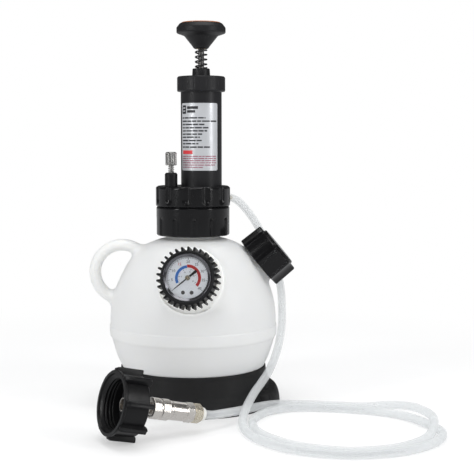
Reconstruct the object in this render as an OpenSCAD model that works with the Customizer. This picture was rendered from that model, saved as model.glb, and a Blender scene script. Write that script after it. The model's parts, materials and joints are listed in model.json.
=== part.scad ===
// Hand pump on a ball tank, with pressure gauge, filler cap, delivery hose,
// quick coupler and reservoir adapter. Millimetres, +Z up, tank axis on Z,
// origin at the centre of the foot on the floor, gauge faces -Y.

/* [Tank] */
// radius of the round tank at its widest belt
tank_r = 83.5; // [82.5:0.5:83.5]
// wall thickness of the blown tank
wall = 3; // [2.6:0.2:3.2]
// radius of the foot ring at the floor
foot_r = 82.5; // [80:0.5:83]

/* [Pump] */
// distance from the tank axis to the pump axis
pump_x = 8.5; // [8.5:0.5:9]
// outer radius of the pump barrel
barrel_r = 20.25; // [20.25:0.25:20.5]
// inner radius of the pump barrel
bore_r = 17.5; // [17.5:0.1:17.8]
// top of the barrel above the floor
barrel_top = 312; // [306:1:316]
// radius of the plunger knob
knob_r = 24.2; // [22:0.2:26]
// radius of the plunger rod
rod_r = 2.9; // [2.8:0.1:3.1]

/* [Gauge] */
// upward tilt of the gauge face in degrees
gauge_tilt = 13; // [11:1:14]
// turn of the gauge face about the vertical in degrees
gauge_turn = -6; // [-8:1:-4]
// number of teeth round the rubber boot
boot_teeth = 30; // [24:1:32]

/* [Filler] */
// angle of the filler neck above the horizontal in degrees
filler_angle = 39.7; // [39:0.1:41]
// number of grip scallops on the filler cap
filler_lobes = 8; // [6:1:10]

/* [Hose] */
// outer radius of the hose
hose_r = 4; // [3.9:0.1:4]
// bore radius of the hose, across corners
hose_bore = 2.75; // [2.7:0.05:2.8]

/* [Adapter] */
// straight bore radius at the mouth of the reservoir adapter
adapter_bore = 22.5; // [22:0.1:23]
// number of grip fins on the reservoir adapter
adapter_fins = 8; // [6:1:8]

/* [Hidden] */
$fn = 96;
fit = 0.02;                     // gap between fixed pieces
run = 0.06;                     // running clearance on radius

// colours used by more than one piece
black = [0.08, 0.08, 0.085];
charcoal = [0.15, 0.15, 0.16];
jet = [0.1, 0.1, 0.1];
soot = [0.12, 0.12, 0.12];
steel = [0.7, 0.7, 0.72];
pale_steel = [0.75, 0.75, 0.77];
warm_steel = [0.76, 0.75, 0.73];
brass = [0.75, 0.6, 0.35];
bronze = [0.7, 0.55, 0.3];
ivory = [0.85, 0.84, 0.8];

// heights above the floor, and radii, shared by mating pieces
tank_bottom = 6;
tank_mid = 85;                  // centre from which the wall is measured
neck_r = 26;
neck_top = 186;
spigot_bottom = 188;            // underside of the pump head in the neck
clip_bottom = 189.9;
clip_top = 191.3;
clip_groove_r = 22.6;
head_bottom = 196.2;            // underside of the head flange
head_top = 216.6;

// places on the pump head
gauge_pos = [-1.4, -92, 135.4];
outlet_z = 203;
outlet_az = 42;
pickup = 15.5 * [cos(outlet_az), sin(outlet_az)];
relief = [-20.4, -20.6];
relief_az = atan2(relief[1], relief[0]);

// point on the adapter axis, and the rotation that turns +Z onto it
adapter_pos = [-34, -148.3, 28.15];
adapter_rot = [0, 76.9, 209.2];

// ---------- curves ----------
// Catmull-Rom point at t = 0..1 between p1 and p2
function spline(p0, p1, p2, p3, t) = 0.5 * ((2 * p1) + (p2 - p0) * t
  + (2 * p0 - 5 * p1 + 4 * p2 - p3) * t * t + (3 * p1 - p0 - 3 * p2 + p3) * t * t * t);

// smooth curve through the points, with the given steps in each span
function curve(points, steps) = let (last = len(points) - 1) concat(
  [for (i = [0:last - 1]) for (j = [0:steps - 1])
    spline(points[max(i - 1, 0)], points[i], points[i + 1], points[min(i + 2, last)], j / steps)],
  [points[last]]);

function unit(v) = v / norm(v);

// ---------- shapes ----------
// cylinder on the axis, starting at z
module post(r, z, h) {
  translate([0, 0, z]) cylinder(r = r, h = h);
}

module ring(outer_r, inner_r, z0, z1) {
  difference() {
    post(outer_r, z0, z1 - z0);
    post(inner_r, z0 - 1, z1 - z0 + 2);
  }
}

// hexagon, sized across its flats
module hex(flats, z0, z1) {
  post(flats / 2 / cos(30), z0, z1 - z0, $fn = 6);
}

// outline of [radius, height] points turned about the axis
module lathe(outline) {
  rotate_extrude() polygon(outline);
}

// count copies evenly spaced about the axis
module around(count, start = 0) {
  for (i = [0:count - 1]) rotate([0, 0, start + 360 / count * i]) children();
}

module thread_rings(heights, root_r, crest_r, width) {
  for (z = heights) translate([0, 0, z])
    lathe([[root_r, 0], [crest_r, width / 2 - 0.3], [crest_r, width / 2 + 0.3], [root_r, width]]);
}

function tangents(path) = [for (i = [0:len(path) - 1])
  unit(path[min(i + 1, len(path) - 1)] - path[max(i - 1, 0)])];

// normals carried along the tangents without twist
function normals(along, first) = [for (i = 0, n = first; i < len(along);
  i = i + 1, n = i < len(along) ? unit(n - (n * along[i]) * along[i]) : n) n];

// tube swept along a list of points; inner_r = 0 makes it solid
module sweep_tube(path, outer_r, inner_r, sides) {
  along = tangents(path);
  across = normals(along, unit(cross(along[0], [0.13, 0.21, 1])));
  last = len(path) - 1;
  points = [for (r = inner_r > 0 ? [outer_r, inner_r] : [outer_r]) for (i = [0:last])
    let (side = cross(along[i], across[i]))
    for (k = [0:sides - 1]) let (a = 360 * k / sides)
      path[i] + r * (cos(a) * across[i] + sin(a) * side)];
  outer = [for (i = [0:last - 1]) for (k = [0:sides - 1])
    let (here = i * sides, next = here + sides, q = (k + 1) % sides)
    each [[here + k, next + q, here + q], [here + k, next + k, next + q]]];
  bore = len(path) * sides;     // first point of the bore
  end = last * sides;           // first point of the last section
  inner = [for (f = outer) [f[0] + bore, f[2] + bore, f[1] + bore]];
  rims = [for (k = [0:sides - 1]) let (q = (k + 1) % sides)
    each [[k, q, bore + q], [k, bore + q, bore + k],
      [end + k, bore + end + q, end + q], [end + k, bore + end + k, bore + end + q]]];
  start_cap = [for (k = [0:sides - 1]) k];
  end_cap = [for (k = [sides - 1:-1:0]) end + k];
  if (inner_r > 0) polyhedron(points, concat(outer, inner, rims), convexity = 12);
  else polyhedron(points, concat([start_cap], outer, [end_cap]), convexity = 12);
}

// share of a coil's height reached at t = 0..1; the pitch eases to nothing at both ends
ease = 0.14;
function coil_rise(t) = (t < ease ? t * t / 2 / ease
  : t > 1 - ease ? 1 - ease - (1 - t) * (1 - t) / 2 / ease
  : t - ease / 2) / (1 - ease);

// coil spring on +Z, touching z0 and z1
module coil(mean_r, wire_r, turns, z0, z1, sides = 6, per_turn = 14) {
  steps = ceil(turns * per_turn);
  path = [for (i = [0:steps]) let (t = i / steps, a = 360 * turns * t)
    [mean_r * cos(a), mean_r * sin(a), z0 + wire_r + (z1 - z0 - 2 * wire_r) * coil_rise(t)]];
  sweep_tube(path, wire_r, 0, sides);
}

// ---------- places ----------
module at_pump() { translate([pump_x, 0, 0]) children(); }
module at_relief() { translate([relief[0], relief[1], 0]) children(); }
module at_pickup() { translate([pickup[0], pickup[1], 0]) children(); }
module at_gauge() { translate(gauge_pos) rotate([90 - gauge_tilt, 0, gauge_turn]) children(); }
module at_filler() { translate([0, 0, tank_mid]) rotate([0, 90 - filler_angle, 0]) children(); }
module at_adapter() { translate(adapter_pos) rotate(adapter_rot) children(); }
module at_outlet() { translate([0, 0, outlet_z]) rotate([0, 90, outlet_az]) children(); }

// ---------- tank outline, [radius, height] ----------
function tank_side() = curve([[34, tank_bottom], [48, 11], [60, 21.5], [67.2, 31.5], [71.6, 38.3],
  [76.4, 49], [80.3, 62], [tank_r - 1.75, 66.4]], 4);
function tank_top() = curve([[tank_r - 0.75, 79.4], [82.5, 89], [81.2, 101], [77.7, 114],
  [72, 127], [65, 140], [56.7, 150], [46.8, 158], [35, 163], [28, 164.6]], 4);
tank_belt = [[tank_r - 0.75, 67.9], [tank_r - 0.3, 69.3], [tank_r, 72.5], [tank_r, 78.4]];

// point moved towards the tank centre
function inset(p, depth) = let (centre = [0, tank_mid], v = p - centre)
  centre + v * (1 - depth / norm(v));

function tank_outside() = concat([[0, tank_bottom]], tank_side(), tank_belt, tank_top(),
  [[neck_r, 165], [0, 165]]);
function tank_inside() = let (floor_z = tank_bottom + wall) concat(
  [[0, floor_z]],
  [for (p = tank_side()) let (q = inset(p, wall)) [q[0], max(q[1], floor_z)]],
  [for (p = tank_top()) if (p[1] < 164) inset(p, wall)],
  [[22, 161.4], [0, 161.4]]);

// ---------- tank and foot ----------
// foot cup, hollow below, with a centre boss under the tank
module foot_cup() {
  under = [for (p = tank_side()) if (p[1] < 36.9) p];
  lathe(concat(
    [[foot_r, 0], [foot_r, 3.5], [80.4, 7], [77.6, 13], [76, 18], [74.4, 26], [72.9, 33.5],
      [72.6, 36.6], [72.1, 37.6], [71.5, 37.75]],
    [for (i = [len(under) - 1:-1:0]) inset(under[i], -0.12)],
    [[0, 5.88], [0, 0], [12, 0], [12, 3.4], [30, 3.4], [42, 5.6], [52, 9.6], [63.5, 20.2],
      [69.4, 30.6], [71.6, 24], [73.6, 13], [78.2, 4.2], [79.6, 0]]));
}

// rounded lobes on the two sides of the foot
module foot_lobes() {
  span = 66;
  height = 17.5;
  for (a = [0, 180]) rotate([0, 0, a - span / 2]) rotate_extrude(angle = span)
    polygon(concat([[76.8, 0]],
      [for (t = [0:10:90]) [80 + 7 * cos(t), height * sin(t)]],
      [[76.2, height], [78.2, 9]]));
}

module base() {
  color(black) {
    foot_cup();
    foot_lobes();
  }
}

// filler neck, along the filler axis
filler_neck_r = 19.5;
filler_bore = 16.5;
filler_lip = 99.5;

// levels along the gauge axis, dial face at 0
gauge_seat = -21;               // flat on the tank boss
insert_end = -29;
insert_r = 9;
stem_r = 6.4;

module carrying_loop() {
  translate([-70.9, 0, 130.3]) rotate([90, 0, 0]) rotate([0, 0, 38]) rotate_extrude(angle = 226)
    translate([27.2, 0]) scale([5.8, 8]) circle(r = 1);
}

module tank() {
  color([0.92, 0.92, 0.9]) difference() {
    union() {
      difference() {
        union() {
          lathe(tank_outside());
          post(neck_r, 150, neck_top - 150);
          thread_rings([169, 174, 179], neck_r - 0.5, neck_r + 1.3, 2.4);
          at_filler() post(filler_neck_r, 66, filler_lip - 66);
          at_filler() thread_rings([87, 91, 95], filler_neck_r - 0.5, filler_neck_r + 1.4, 2);
          carrying_loop();
          // gauge boss
          at_gauge() post(31.2, -58, 37);
        }
        lathe(tank_inside());
      }
      // solid backing for the gauge seat, kept inside the tank outline
      intersection() {
        lathe(tank_outside());
        at_gauge() post(34, -25, 20);
      }
      at_gauge() post(13, -33, 11);
    }
    // flat seat, insert pocket and pressure port for the gauge
    at_gauge() post(31.6, gauge_seat, 45);
    at_gauge() post(insert_r + fit, insert_end - fit, 12);
    at_gauge() post(3, -40, 20);
    // mouths
    post(20, 150, 40);
    at_filler() post(filler_bore, 60, 45);
  }
}

module neck_seal() {
  color(jet) ring(neck_r, 20.3, neck_top + fit, spigot_bottom - fit);
}

module tank_nut() {
  groove_r = 4.6;
  groove_top = 182.4;
  color(black) difference() {
    lathe([[27.6, 167.6], [35.4, 167.6], [36.4, 168.8], [36.4, 195], [35.9, 195.8], [35.4, 196],
      [24.2, 196], [24.2, 191.4], [27.6, 191.4]]);
    // round-ended grip grooves, open at the bottom
    around(12, -86) translate([39.4, 0, 0]) {
      post(groove_r, 160, groove_top - 160, $fn = 48);
      translate([0, 0, groove_top]) sphere(r = groove_r, $fn = 48);
    }
  }
}

module head_clip() {
  color([0.6, 0.6, 0.62]) ring(26.8, clip_groove_r + fit, clip_bottom + fit, clip_top - fit);
}

// ---------- pump head ----------
barrel_floor = 209;
check_bore_r = 5.2;
check_bottom = 195;
dip_r = 3;
dip_bore = 2;

// hose barb, levels along the outlet axis
barb_r = 4;
barb_start = 27;
barb_seal_r = 6.2;
barb_seal_start = 35;
barb_nut_start = 36.5;

relief_spigot_r = 3.6;

// head flange with round-ended grip grooves, open at the top
module head_flange() {
  groove_r = 6.2;
  groove_bottom = 203.4;
  difference() {
    lathe([[0, head_bottom], [35.6, head_bottom], [36.9, 197.2], [36.9, 213.4], [36.4, 215],
      [35.4, 216], [34, head_top], [0, head_top]]);
    around(12, -97.6) translate([41.4, 0, 0]) {
      post(groove_r, groove_bottom, 30, $fn = 48);
      translate([0, 0, groove_bottom]) sphere(r = groove_r, $fn = 48);
    }
  }
}

module pump_head() {
  relief_duct_z = 202;
  color(black) difference() {
    union() {
      head_flange();
      post(23.9, spigot_bottom, 8.5);
    }
    // groove for the clip
    ring(30, clip_groove_r, clip_bottom, clip_top);
    // chamber open to the tank
    post(19.5, 187, 8);
    // socket for the barrel, valve bore and its port
    at_pump() post(barrel_r + fit, barrel_floor, 10);
    at_pump() post(check_bore_r, 194, 11);
    at_pump() post(2.2, 204, 6);
    // pick-up bore and outlet
    at_pickup() post(dip_r + fit, 194, 6.5);
    at_pickup() post(dip_bore, 199, 5);
    at_outlet() post(2, 14, 30);
    at_outlet() post(barb_r + fit, barb_start, 12);
    at_outlet() post(barb_seal_r + fit, barb_seal_start, 2);
    at_outlet() post(8, 36.3, 5);
    // relief port
    at_relief() post(relief_spigot_r + fit, 200, 20);
    translate([0, 0, relief_duct_z]) rotate([0, 90, relief_az]) post(1.3, 15, 12);
    rotate([0, 0, relief_az]) translate([16, 0, 0]) post(1.5, 194, relief_duct_z - 194);
  }
}

barrel_lip_r = 22.4;
module barrel() {
  color(black) at_pump() lathe([[bore_r, barrel_floor + fit], [barrel_r, barrel_floor + fit],
    [barrel_r, barrel_top - 2.6], [barrel_lip_r, barrel_top - 2.0],
    [barrel_lip_r, barrel_top], [bore_r, barrel_top]]);
}

module barrel_label() {
  color([0.75, 0.76, 0.78]) at_pump() rotate([0, 0, -155]) rotate_extrude(angle = 117.1)
    translate([barrel_r + fit, 232]) square([0.18, 65.7]);
}

cap_top = barrel_top + 20;
bush_r = 5.6;
bush_bottom = barrel_top + 4;

module pump_cap() {
  plug_r = bore_r - 0.1;
  // [radius, height above the barrel top]
  outline = [[0, -8], [plug_r, -8], [plug_r, fit], [barrel_lip_r + fit, fit],
    [barrel_lip_r + fit, -2.2], [23.2, -2.6], [23.75, -1.8], [23.75, 11.2], [22.9, 12.2],
    [8.85, 12.2], [8.55, cap_top - barrel_top], [0, cap_top - barrel_top]];
  color(black) at_pump() difference() {
    lathe([for (p = outline) p + [0, barrel_top]]);
    post(rod_r + 0.4, barrel_top - 9, 40);
    post(bush_r + fit, bush_bottom, 30);
    // grip flutes
    around(24) translate([24.9, 0, 0]) post(1.35, barrel_top + 0.6, 9.6, $fn = 24);
  }
}

module rod_bush() {
  color(bronze) at_pump() ring(bush_r, rod_r + run, bush_bottom + fit, barrel_top + 19.4);
}

// ---------- check valve under the barrel floor ----------
module check_disc() {
  color(soot) at_pump()
    lathe([[0, 203.0], [1.1, 203.0], [1.1, 203.4], [4.4, 203.4], [4.4, 204.95], [0, 204.95]]);
}

module check_spring() {
  color(steel) at_pump() coil(2.6, 0.3, 4, 198.05, 203.35);
}

module check_cage() {
  color(ivory) at_pump() difference() {
    post(check_bore_r - fit, check_bottom + fit, 3);
    around(4, 45) translate([3.2, 0, 0]) post(1.1, 190, 10);
  }
}

// ---------- pick-up and outlet ----------
module dip_tube() {
  color([0.9, 0.9, 0.88]) at_pickup() ring(dip_r, dip_bore, 14, 200.4);
}

module outlet_barb() {
  color([0.72, 0.6, 0.35]) at_outlet() difference() {
    union() {
      post(barb_r, barb_start + fit, 9.5);
      hex(13, barb_nut_start, 41);
      lathe([[0, 41], [2.2, 41], [2.2, 44], [2.5, 44.2], [2.2, 46], [2.5, 46.2], [2.2, 48],
        [2.5, 48.2], [2.1, 51], [0, 51]]);
    }
    post(1.4, 20, 40);
  }
}

module outlet_seal() {
  color(jet) at_outlet()
    ring(barb_seal_r, barb_r + fit, barb_seal_start + fit, barb_nut_start - fit);
}

// ---------- relief valve ----------
relief_stem_r = 1.5;
relief_body_top = 230;
relief_knob_z = 237.2;

module relief_body() {
  color(black) at_relief() difference() {
    union() {
      lathe([[0, head_top + fit], [6.2, head_top + fit], [6.2, 228.6], [5.2, relief_body_top],
        [0, relief_body_top]]);
      post(relief_spigot_r, 208, 9);
    }
    post(relief_stem_r + run, 205, 30);
  }
}

module relief_stem() {
  color(pale_steel) at_relief() lathe([[0, 205.2], [3, 205.2], [3, 207.2], [2.2, 207.95],
    [relief_stem_r, 207.95], [relief_stem_r, 246], [0, 246]]);
}

module relief_spring() {
  color(pale_steel) at_relief()
    coil(2.6, 0.38, 4.4, relief_body_top + fit, relief_knob_z - fit);
}

module relief_knob() {
  color([0.75, 0.74, 0.7]) at_relief() difference() {
    lathe([[0, relief_knob_z], [4.9, relief_knob_z], [5.5, 237.8], [5.5, 249], [4.9, 249.8],
      [4, 250.2], [0, 250.2]]);
    post(relief_stem_r + fit, 230, 16 + fit);
    around(14) translate([5.75, 0, 0]) post(0.62, 234, 17, $fn = 16);
  }
}

// ---------- plunger ----------
rod_end_r = 2.5;                // thinner lower end that carries the piston
rod_shoulder = 222;
piston_bottom = 218;
cup_bottom = 215.2;
washer_bottom = 214.2;
knob_bottom = 351.2;
knob_bush_r = 5;
insert_seat = 373;
insert_seat_r = 19.6;

module pump_rod() {
  color(charcoal) at_pump() {
    post(rod_r, rod_shoulder, 144);
    post(rod_end_r, 210.4, 11.6);
  }
}

module bumper_spring() {
  color(soot) at_pump()
    coil(5.45, 0.8, 4.3, cap_top + 0.1, knob_bottom - 0.1, sides = 8, per_turn = 18);
}

module knob() {
  color(black) at_pump() difference() {
    lathe([[0, knob_bottom], [6.2, knob_bottom], [7.6, 352.2], [8.6, 353.8], [16.3, 363.4],
      [17.4, 364.2], [23.2, 366.2], [knob_r - 0.2, 366.8], [knob_r, 367.6], [knob_r, 371.4],
      [knob_r - 0.3, 372.2], [21.2, 375.6], [20.6, 376], [0, 376]]);
    post(knob_bush_r + fit, 350, 16 + fit);
    post(insert_seat_r, insert_seat, 10);
  }
}

module knob_bush() {
  color(bronze) at_pump() ring(knob_bush_r, rod_r + fit, knob_bottom + 0.1, 366);
}

module knob_insert() {
  rim_r = insert_seat_r - fit;
  color([0.8, 0.4, 0.12]) at_pump() lathe([[0, insert_seat + fit], [rim_r, insert_seat + fit],
    [rim_r, 376.5], [19.2, 376.9], [12, 377.2], [0, 377.3]]);
}

module piston() {
  skirt_r = bore_r - 0.09;
  color(ivory) at_pump() lathe([[rod_end_r + fit, piston_bottom + fit], [15, piston_bottom + fit],
    [skirt_r, 218.6], [skirt_r, 221.2], [16.6, rod_shoulder - fit],
    [rod_end_r + fit, rod_shoulder - fit]]);
}

module piston_cup() {
  lip_r = bore_r - 0.04;
  color(jet) at_pump() lathe([[rod_end_r + fit, cup_bottom], [13.6, cup_bottom], [14.6, 214.4],
    [15.2, 212.3], [lip_r, 212.0], [lip_r, 213.4], [17.0, 216.2], [16.4, piston_bottom],
    [rod_end_r + fit, piston_bottom]]);
}

module piston_washer() {
  color(steel) at_pump() ring(8, rod_end_r + fit, washer_bottom, cup_bottom - fit);
}

module piston_nut() {
  color(steel) at_pump() difference() {
    hex(8, 210.8, washer_bottom - fit);
    post(rod_end_r + fit, 205, 15);
  }
}

// ---------- filler ----------
module filler_gasket() {
  color([0.15, 0.15, 0.15]) at_filler() ring(21.9, filler_bore + 0.1, filler_lip + fit, 101.6);
}

module filler_cap() {
  color(black) at_filler() difference() {
    lathe([[22, 85.1], [27.2, 85.1], [28, 85.9], [27.4, 108.6], [26.4, 109.6], [20.8, 109.6],
      [20.8, 111], [20, 111.8], [0, 111.8], [0, 101.7], [22, 101.7]]);
    // wide, shallow grip scallops
    around(filler_lobes, -77.5) translate([60, 0, 0]) post(34.4, 80, 40, $fn = 180);
  }
}

// ---------- gauge ----------
case_r = 22;
case_back = -18;
case_front = 1.4;
stem_nut_back = -20;

module gauge_case() {
  inner_r = 21.2;
  color(charcoal) at_gauge() lathe([[7 + fit, case_back], [21.2, case_back], [case_r, -17.2],
    [case_r, case_front], [inner_r, case_front], [inner_r, -17], [7 + fit, -17]]);
}

module gauge_bezel() {
  color([0.85, 0.85, 0.86]) at_gauge() lathe([[20.6, case_front + fit], [22.7, case_front + fit],
    [22.7, 3.9], [22.2, 4.3], [21.6, 4.3], [19.3, 2.8], [19.3, 2.5], [20.6, 2.5]]);
}

module gauge_lens() {
  color([0.9, 0.95, 1, 0.3]) at_gauge() post(20.5, 1.5, 0.95);
}

module gauge_dial() {
  color([0.97, 0.97, 0.97]) at_gauge() difference() {
    post(21.1, -0.6, 0.6);
    post(1, -1, 2);
  }
}

module gauge_pointer() {
  color(black) at_gauge() rotate([0, 0, 220]) difference() {
    union() {
      translate([0, 0, 0.5]) linear_extrude(0.3)
        polygon([[-10.6, -0.95], [-10.6, 0.95], [-2, 0.75], [16.6, 0.16], [16.6, -0.16],
          [-2, -0.75]]);
      post(2.2, 0.45, 0.35);
    }
    post(1.3, -1, 4);
  }
}

module pointer_hub() {
  color(brass) at_gauge() lathe([[0.56, 0.15], [1.28, 0.15], [1.28, 0.82], [2.4, 0.82],
    [2.4, 1.0], [1.9, 1.3], [0.56, 1.3]]);
}

// two slotted screws low on the dial
module dial_screws() {
  color([0.5, 0.5, 0.52]) at_gauge() for (x = [-4, 4]) translate([x, -13.5, 0]) difference() {
    lathe([[0, fit], [1.8, fit], [1.7, 0.4], [1.2, 0.62], [0, 0.7]]);
    translate([-2, -0.15, 0.35]) cube([4, 0.3, 1]);
  }
}

// two plates on pillars, with the pointer arbor
module gauge_movement() {
  color(brass) at_gauge() {
    for (z = [-10, -4]) translate([-7, -4, z]) cube([14, 11, 0.8]);
    for (x = [-5.6, 5.6]) translate([x, 5.4, 0]) post(1, -16.98, 13);
    post(0.5, -10, 11);
    post(3.2, -7.6, 1.2);
  }
}

// flattened tube bent round the movement
module bourdon_tube() {
  color([0.8, 0.62, 0.35]) at_gauge() translate([0, 0, -13.5]) rotate([0, 0, -60])
    rotate_extrude(angle = 262) translate([14, 0]) difference() {
      scale([1.3, 2.6]) circle(r = 1, $fn = 32);
      scale([0.7, 2.0]) circle(r = 1, $fn = 32);
    }
}

module gauge_stem() {
  color(brass) at_gauge() difference() {
    union() {
      post(stem_r, insert_end + 0.1, 9);
      hex(14, stem_nut_back, case_back - fit);
      post(5.8, -18.5, 4.5);
    }
    post(1.2, -30, 14);
  }
}

module gauge_insert() {
  color(brass) at_gauge() ring(insert_r, stem_r + fit, insert_end, gauge_seat - fit);
}

module gauge_seal() {
  color([0.6, 0.2, 0.15]) at_gauge()
    ring(9.6, stem_r + fit, gauge_seat + fit, stem_nut_back - fit);
}

module gauge_boot() {
  tooth_r = 0.95;               // half the tooth width, and its round tip
  tooth_back = -17.5;
  tooth_length = 20;
  color(black) at_gauge() union() {
    lathe([[11, -19], [23.6, -19], [25.2, -17.6], [25.2, 3.6], [24.4, 4.7], [23.2, 4.9],
      [22.75, 4.5], [22.75, 1.2], [case_r + fit, 1.0], [case_r + fit, case_back - fit],
      [11, case_back - fit]]);
    around(boot_teeth, 90) {
      translate([24.6, -tooth_r, tooth_back]) cube([3.45, 2 * tooth_r, tooth_length]);
      translate([28.05, 0, 0]) post(tooth_r, tooth_back, tooth_length, $fn = 24);
    }
  }
}

// ---------- hose ----------
// point on the adapter axis, a distance along it from adapter_pos
function on_adapter_axis(distance) = adapter_pos + distance * [
  sin(adapter_rot[1]) * cos(adapter_rot[2]),
  sin(adapter_rot[1]) * sin(adapter_rot[2]),
  cos(adapter_rot[1])];

// [x, y, z] stations from the outlet, round the tank, over the floor to the coupler
hose_stations = [
  [45.4, 40, 198.9], [53, 43, 190.9], [60.2, 43.2, 181.3], [66, 41, 172], [71, 38.7, 162.6],
  [75, 36.3, 153.5], [83, 29.5, 134], [88.3, 16, 113], [89.2, 3, 92], [88.2, -8, 74],
  [83.4, -22, 54.5], [75.6, -36, 38], [67.4, -52, 29], [60, -68, 22.4], [53, -88, 14.2],
  [49.2, -110, 7.2], [51.5, -135, 4.25], [64, -166, 4.1], [92, -196, 4.05], [136, -210, 4.05],
  [180, -201, 4.05], [211, -176, 4.05], [224.5, -147, 4.05], [222.5, -125, 4.05],
  [213.4, -102, 4.05], [200, -81, 4.05], [180, -66, 4.05], [148, -55, 4.05],
  [118, -49.5, 4.05], [96, -51, 4.05], [77, -62, 4.05], [64.5, -80, 4.05], [58.8, -98, 4.05],
  [58.2, -116, 4.05], [62, -138, 4.05], [74, -162, 4.05], [98, -187, 4.05],
  [136, -201.2, 4.05], [174, -193, 4.05], [201, -171, 4.3], [213.6, -152, 6.6],
  [219.2, -134, 11.4], [220.4, -117, 12.6], [216.8, -99.2, 12.7], [207.8, -80.2, 12.4],
  [191, -61.4, 9.4], [168, -49.8, 5.2], [145, -43.2, 4.1], [118, -38.2, 4.05],
  [98, -38, 4.6], [84, -44.5, 6.2], [70.5, -55.2, 7.4], [58, -69, 8.4], [47, -84.5, 9.8],
  [37.2, -99, 11.6], [28, -111, 13]];

// the hose starts and ends with a straight span on the axis of its fitting
hose_points = concat(
  [for (s = [42.2, 51]) [s * cos(outlet_az), s * sin(outlet_az), outlet_z]],
  hose_stations,
  [for (s = [-63, -46.5]) on_adapter_axis(s)]);

function hose_path() = let (p = hose_points, n = len(p)) concat(
  [p[0]],
  [for (i = [1:n - 3]) for (j = [0:1]) spline(p[i - 1], p[i], p[i + 1], p[i + 2], j / 2)],
  [p[n - 2], p[n - 1]]);

module hose() {
  color([0.9, 0.91, 0.9]) sweep_tube(hose_path(), hose_r, hose_bore, 10);
}

// ---------- quick coupler, levels along the adapter axis ----------
nose_r = 7;                     // coupler nose inside the sleeve
collar_r = 8.5;
plug_r = 5;
ball_z = -5.2;
hose_nut_front = -43.9;
hose_nut_back = -52.6;
hose_hole_r = 4.35;

module coupler_body() {
  color(warm_steel) at_adapter() difference() {
    union() {
      post(nose_r, -17, 14.6);
      lathe([[0, -37], [collar_r, -37], [collar_r, -16.4], [8.1, -16], [0, -16]]);
      hex(16, hose_nut_front, -36.5);
      // barbed tail inside the hose
      lathe([[0, -57], [2.1, -57], [2.5, -54.4], [2.2, -54.2], [2.5, -52], [2.2, -51.8],
        [2.5, -49.6], [2.2, -49.4], [2.2, -43], [0, -43]]);
    }
    post(1.4, -60, 60);
    post(plug_r + run, -13.5, 20);
    // ball holes
    around(6) translate([4, 0, ball_z]) rotate([0, 90, 0]) cylinder(r = 1.24, h = 4, $fn = 32);
  }
}

module lock_balls() {
  color([0.8, 0.8, 0.82]) at_adapter() around(6)
    translate([5.75, 0, ball_z]) sphere(r = 1.2, $fn = 32);
}

module coupler_sleeve() {
  color([0.78, 0.77, 0.75]) at_adapter() difference() {
    lathe([[nose_r + run, -1.6], [8.6, -1.6], [9.5, -2.6], [9.5, -9.4], [8.9, -10], [8.9, -11],
      [9.5, -11.6], [9.5, -18.6], [9.1, -19.5], [collar_r + run, -19.5], [collar_r + run, -9],
      [nose_r + run, -9]]);
    // fine grip grooves
    around(36) translate([9.75, 0, 0]) post(0.45, -25, 30, $fn = 8);
  }
}

module sleeve_spring() {
  color(steel) at_adapter() coil(7.8, 0.35, 4, -15.95, -9.05, per_turn = 16);
}

module hose_nut() {
  color([0.74, 0.7, 0.6]) at_adapter() difference() {
    union() {
      hex(15.6, -51.6, hose_nut_front - fit);
      post(7.2, hose_nut_back, 2);
    }
    post(hose_hole_r, -60, 20);
  }
}

module hose_ferrule() {
  front = hose_nut_back - fit;
  color([0.86, 0.86, 0.85]) at_adapter() lathe([[hose_hole_r, front], [6.4, front],
    [6.0, -55.4], [5.2, -56.6], [hose_hole_r, -56.6]]);
}

// ---------- reservoir adapter ----------
oring_back = -11.2;
oring_front = -9.6;
oring_seat_r = 3.3;
spindle_r = 6.3;
cap_floor = 14.5;

module adapter_plug() {
  color(warm_steel) at_adapter() difference() {
    union() {
      // plug with an O-ring groove and a ball groove
      lathe([[0, -12.5], [4.2, -12.5], [4.2, oring_back], [oring_seat_r, oring_back],
        [oring_seat_r, oring_front], [4.2, oring_front], [plug_r, -8], [plug_r, ball_z - 1],
        [4.4, ball_z - 1], [4.4, ball_z + 1], [plug_r, ball_z + 1], [plug_r, 2.5], [7, 3],
        [7, 5], [6, 5.5], [0, 5.5]]);
      hex(15, 5.4, 10.95);
      post(spindle_r, 10.9, 13);
      post(8.6, 17.6, 1.6);
    }
    post(1.8, -20, 50);
    post(5, 14, 20);
  }
}

module plug_oring() {
  color(jet) at_adapter() ring(4.9, oring_seat_r + fit, oring_back + fit, oring_front - fit);
}

module adapter_cap() {
  fin_width = 4.8;
  color(black) at_adapter() {
    lathe([[spindle_r + run, 11], [25.6, 11], [26.6, 12], [26.8, 32.8], [28.4, 33.4],
      [28.9, 34], [28.9, 35.5], [28.4, 36], [25.5, 36], [25.1, 34.4], [adapter_bore + 0.9, 33],
      [adapter_bore, 32.4], [adapter_bore, 24], [21.5, 23.4], [21.5, cap_floor],
      [spindle_r + run, cap_floor]]);
    // grip fins, standing out round the wall and past its closed end
    around(adapter_fins, 11) rotate([90, 0, 0]) translate([0, 0, -fin_width / 2])
      linear_extrude(fin_width) polygon([[23.6, 11.4], [26.2, 9.6], [28.2, 9], [31.2, 9.2],
        [31.6, 10], [31.6, 31.8], [30.4, 34.8], [29.9, 35.2], [27.4, 35.2], [27.4, 32.8],
        [25, 32.8], [25, 14], [23.6, 14]]);
  }
}

module adapter_gasket() {
  color(soot) at_adapter() ring(21.4, 9, cap_floor + fit, 16.9);
}

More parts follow.
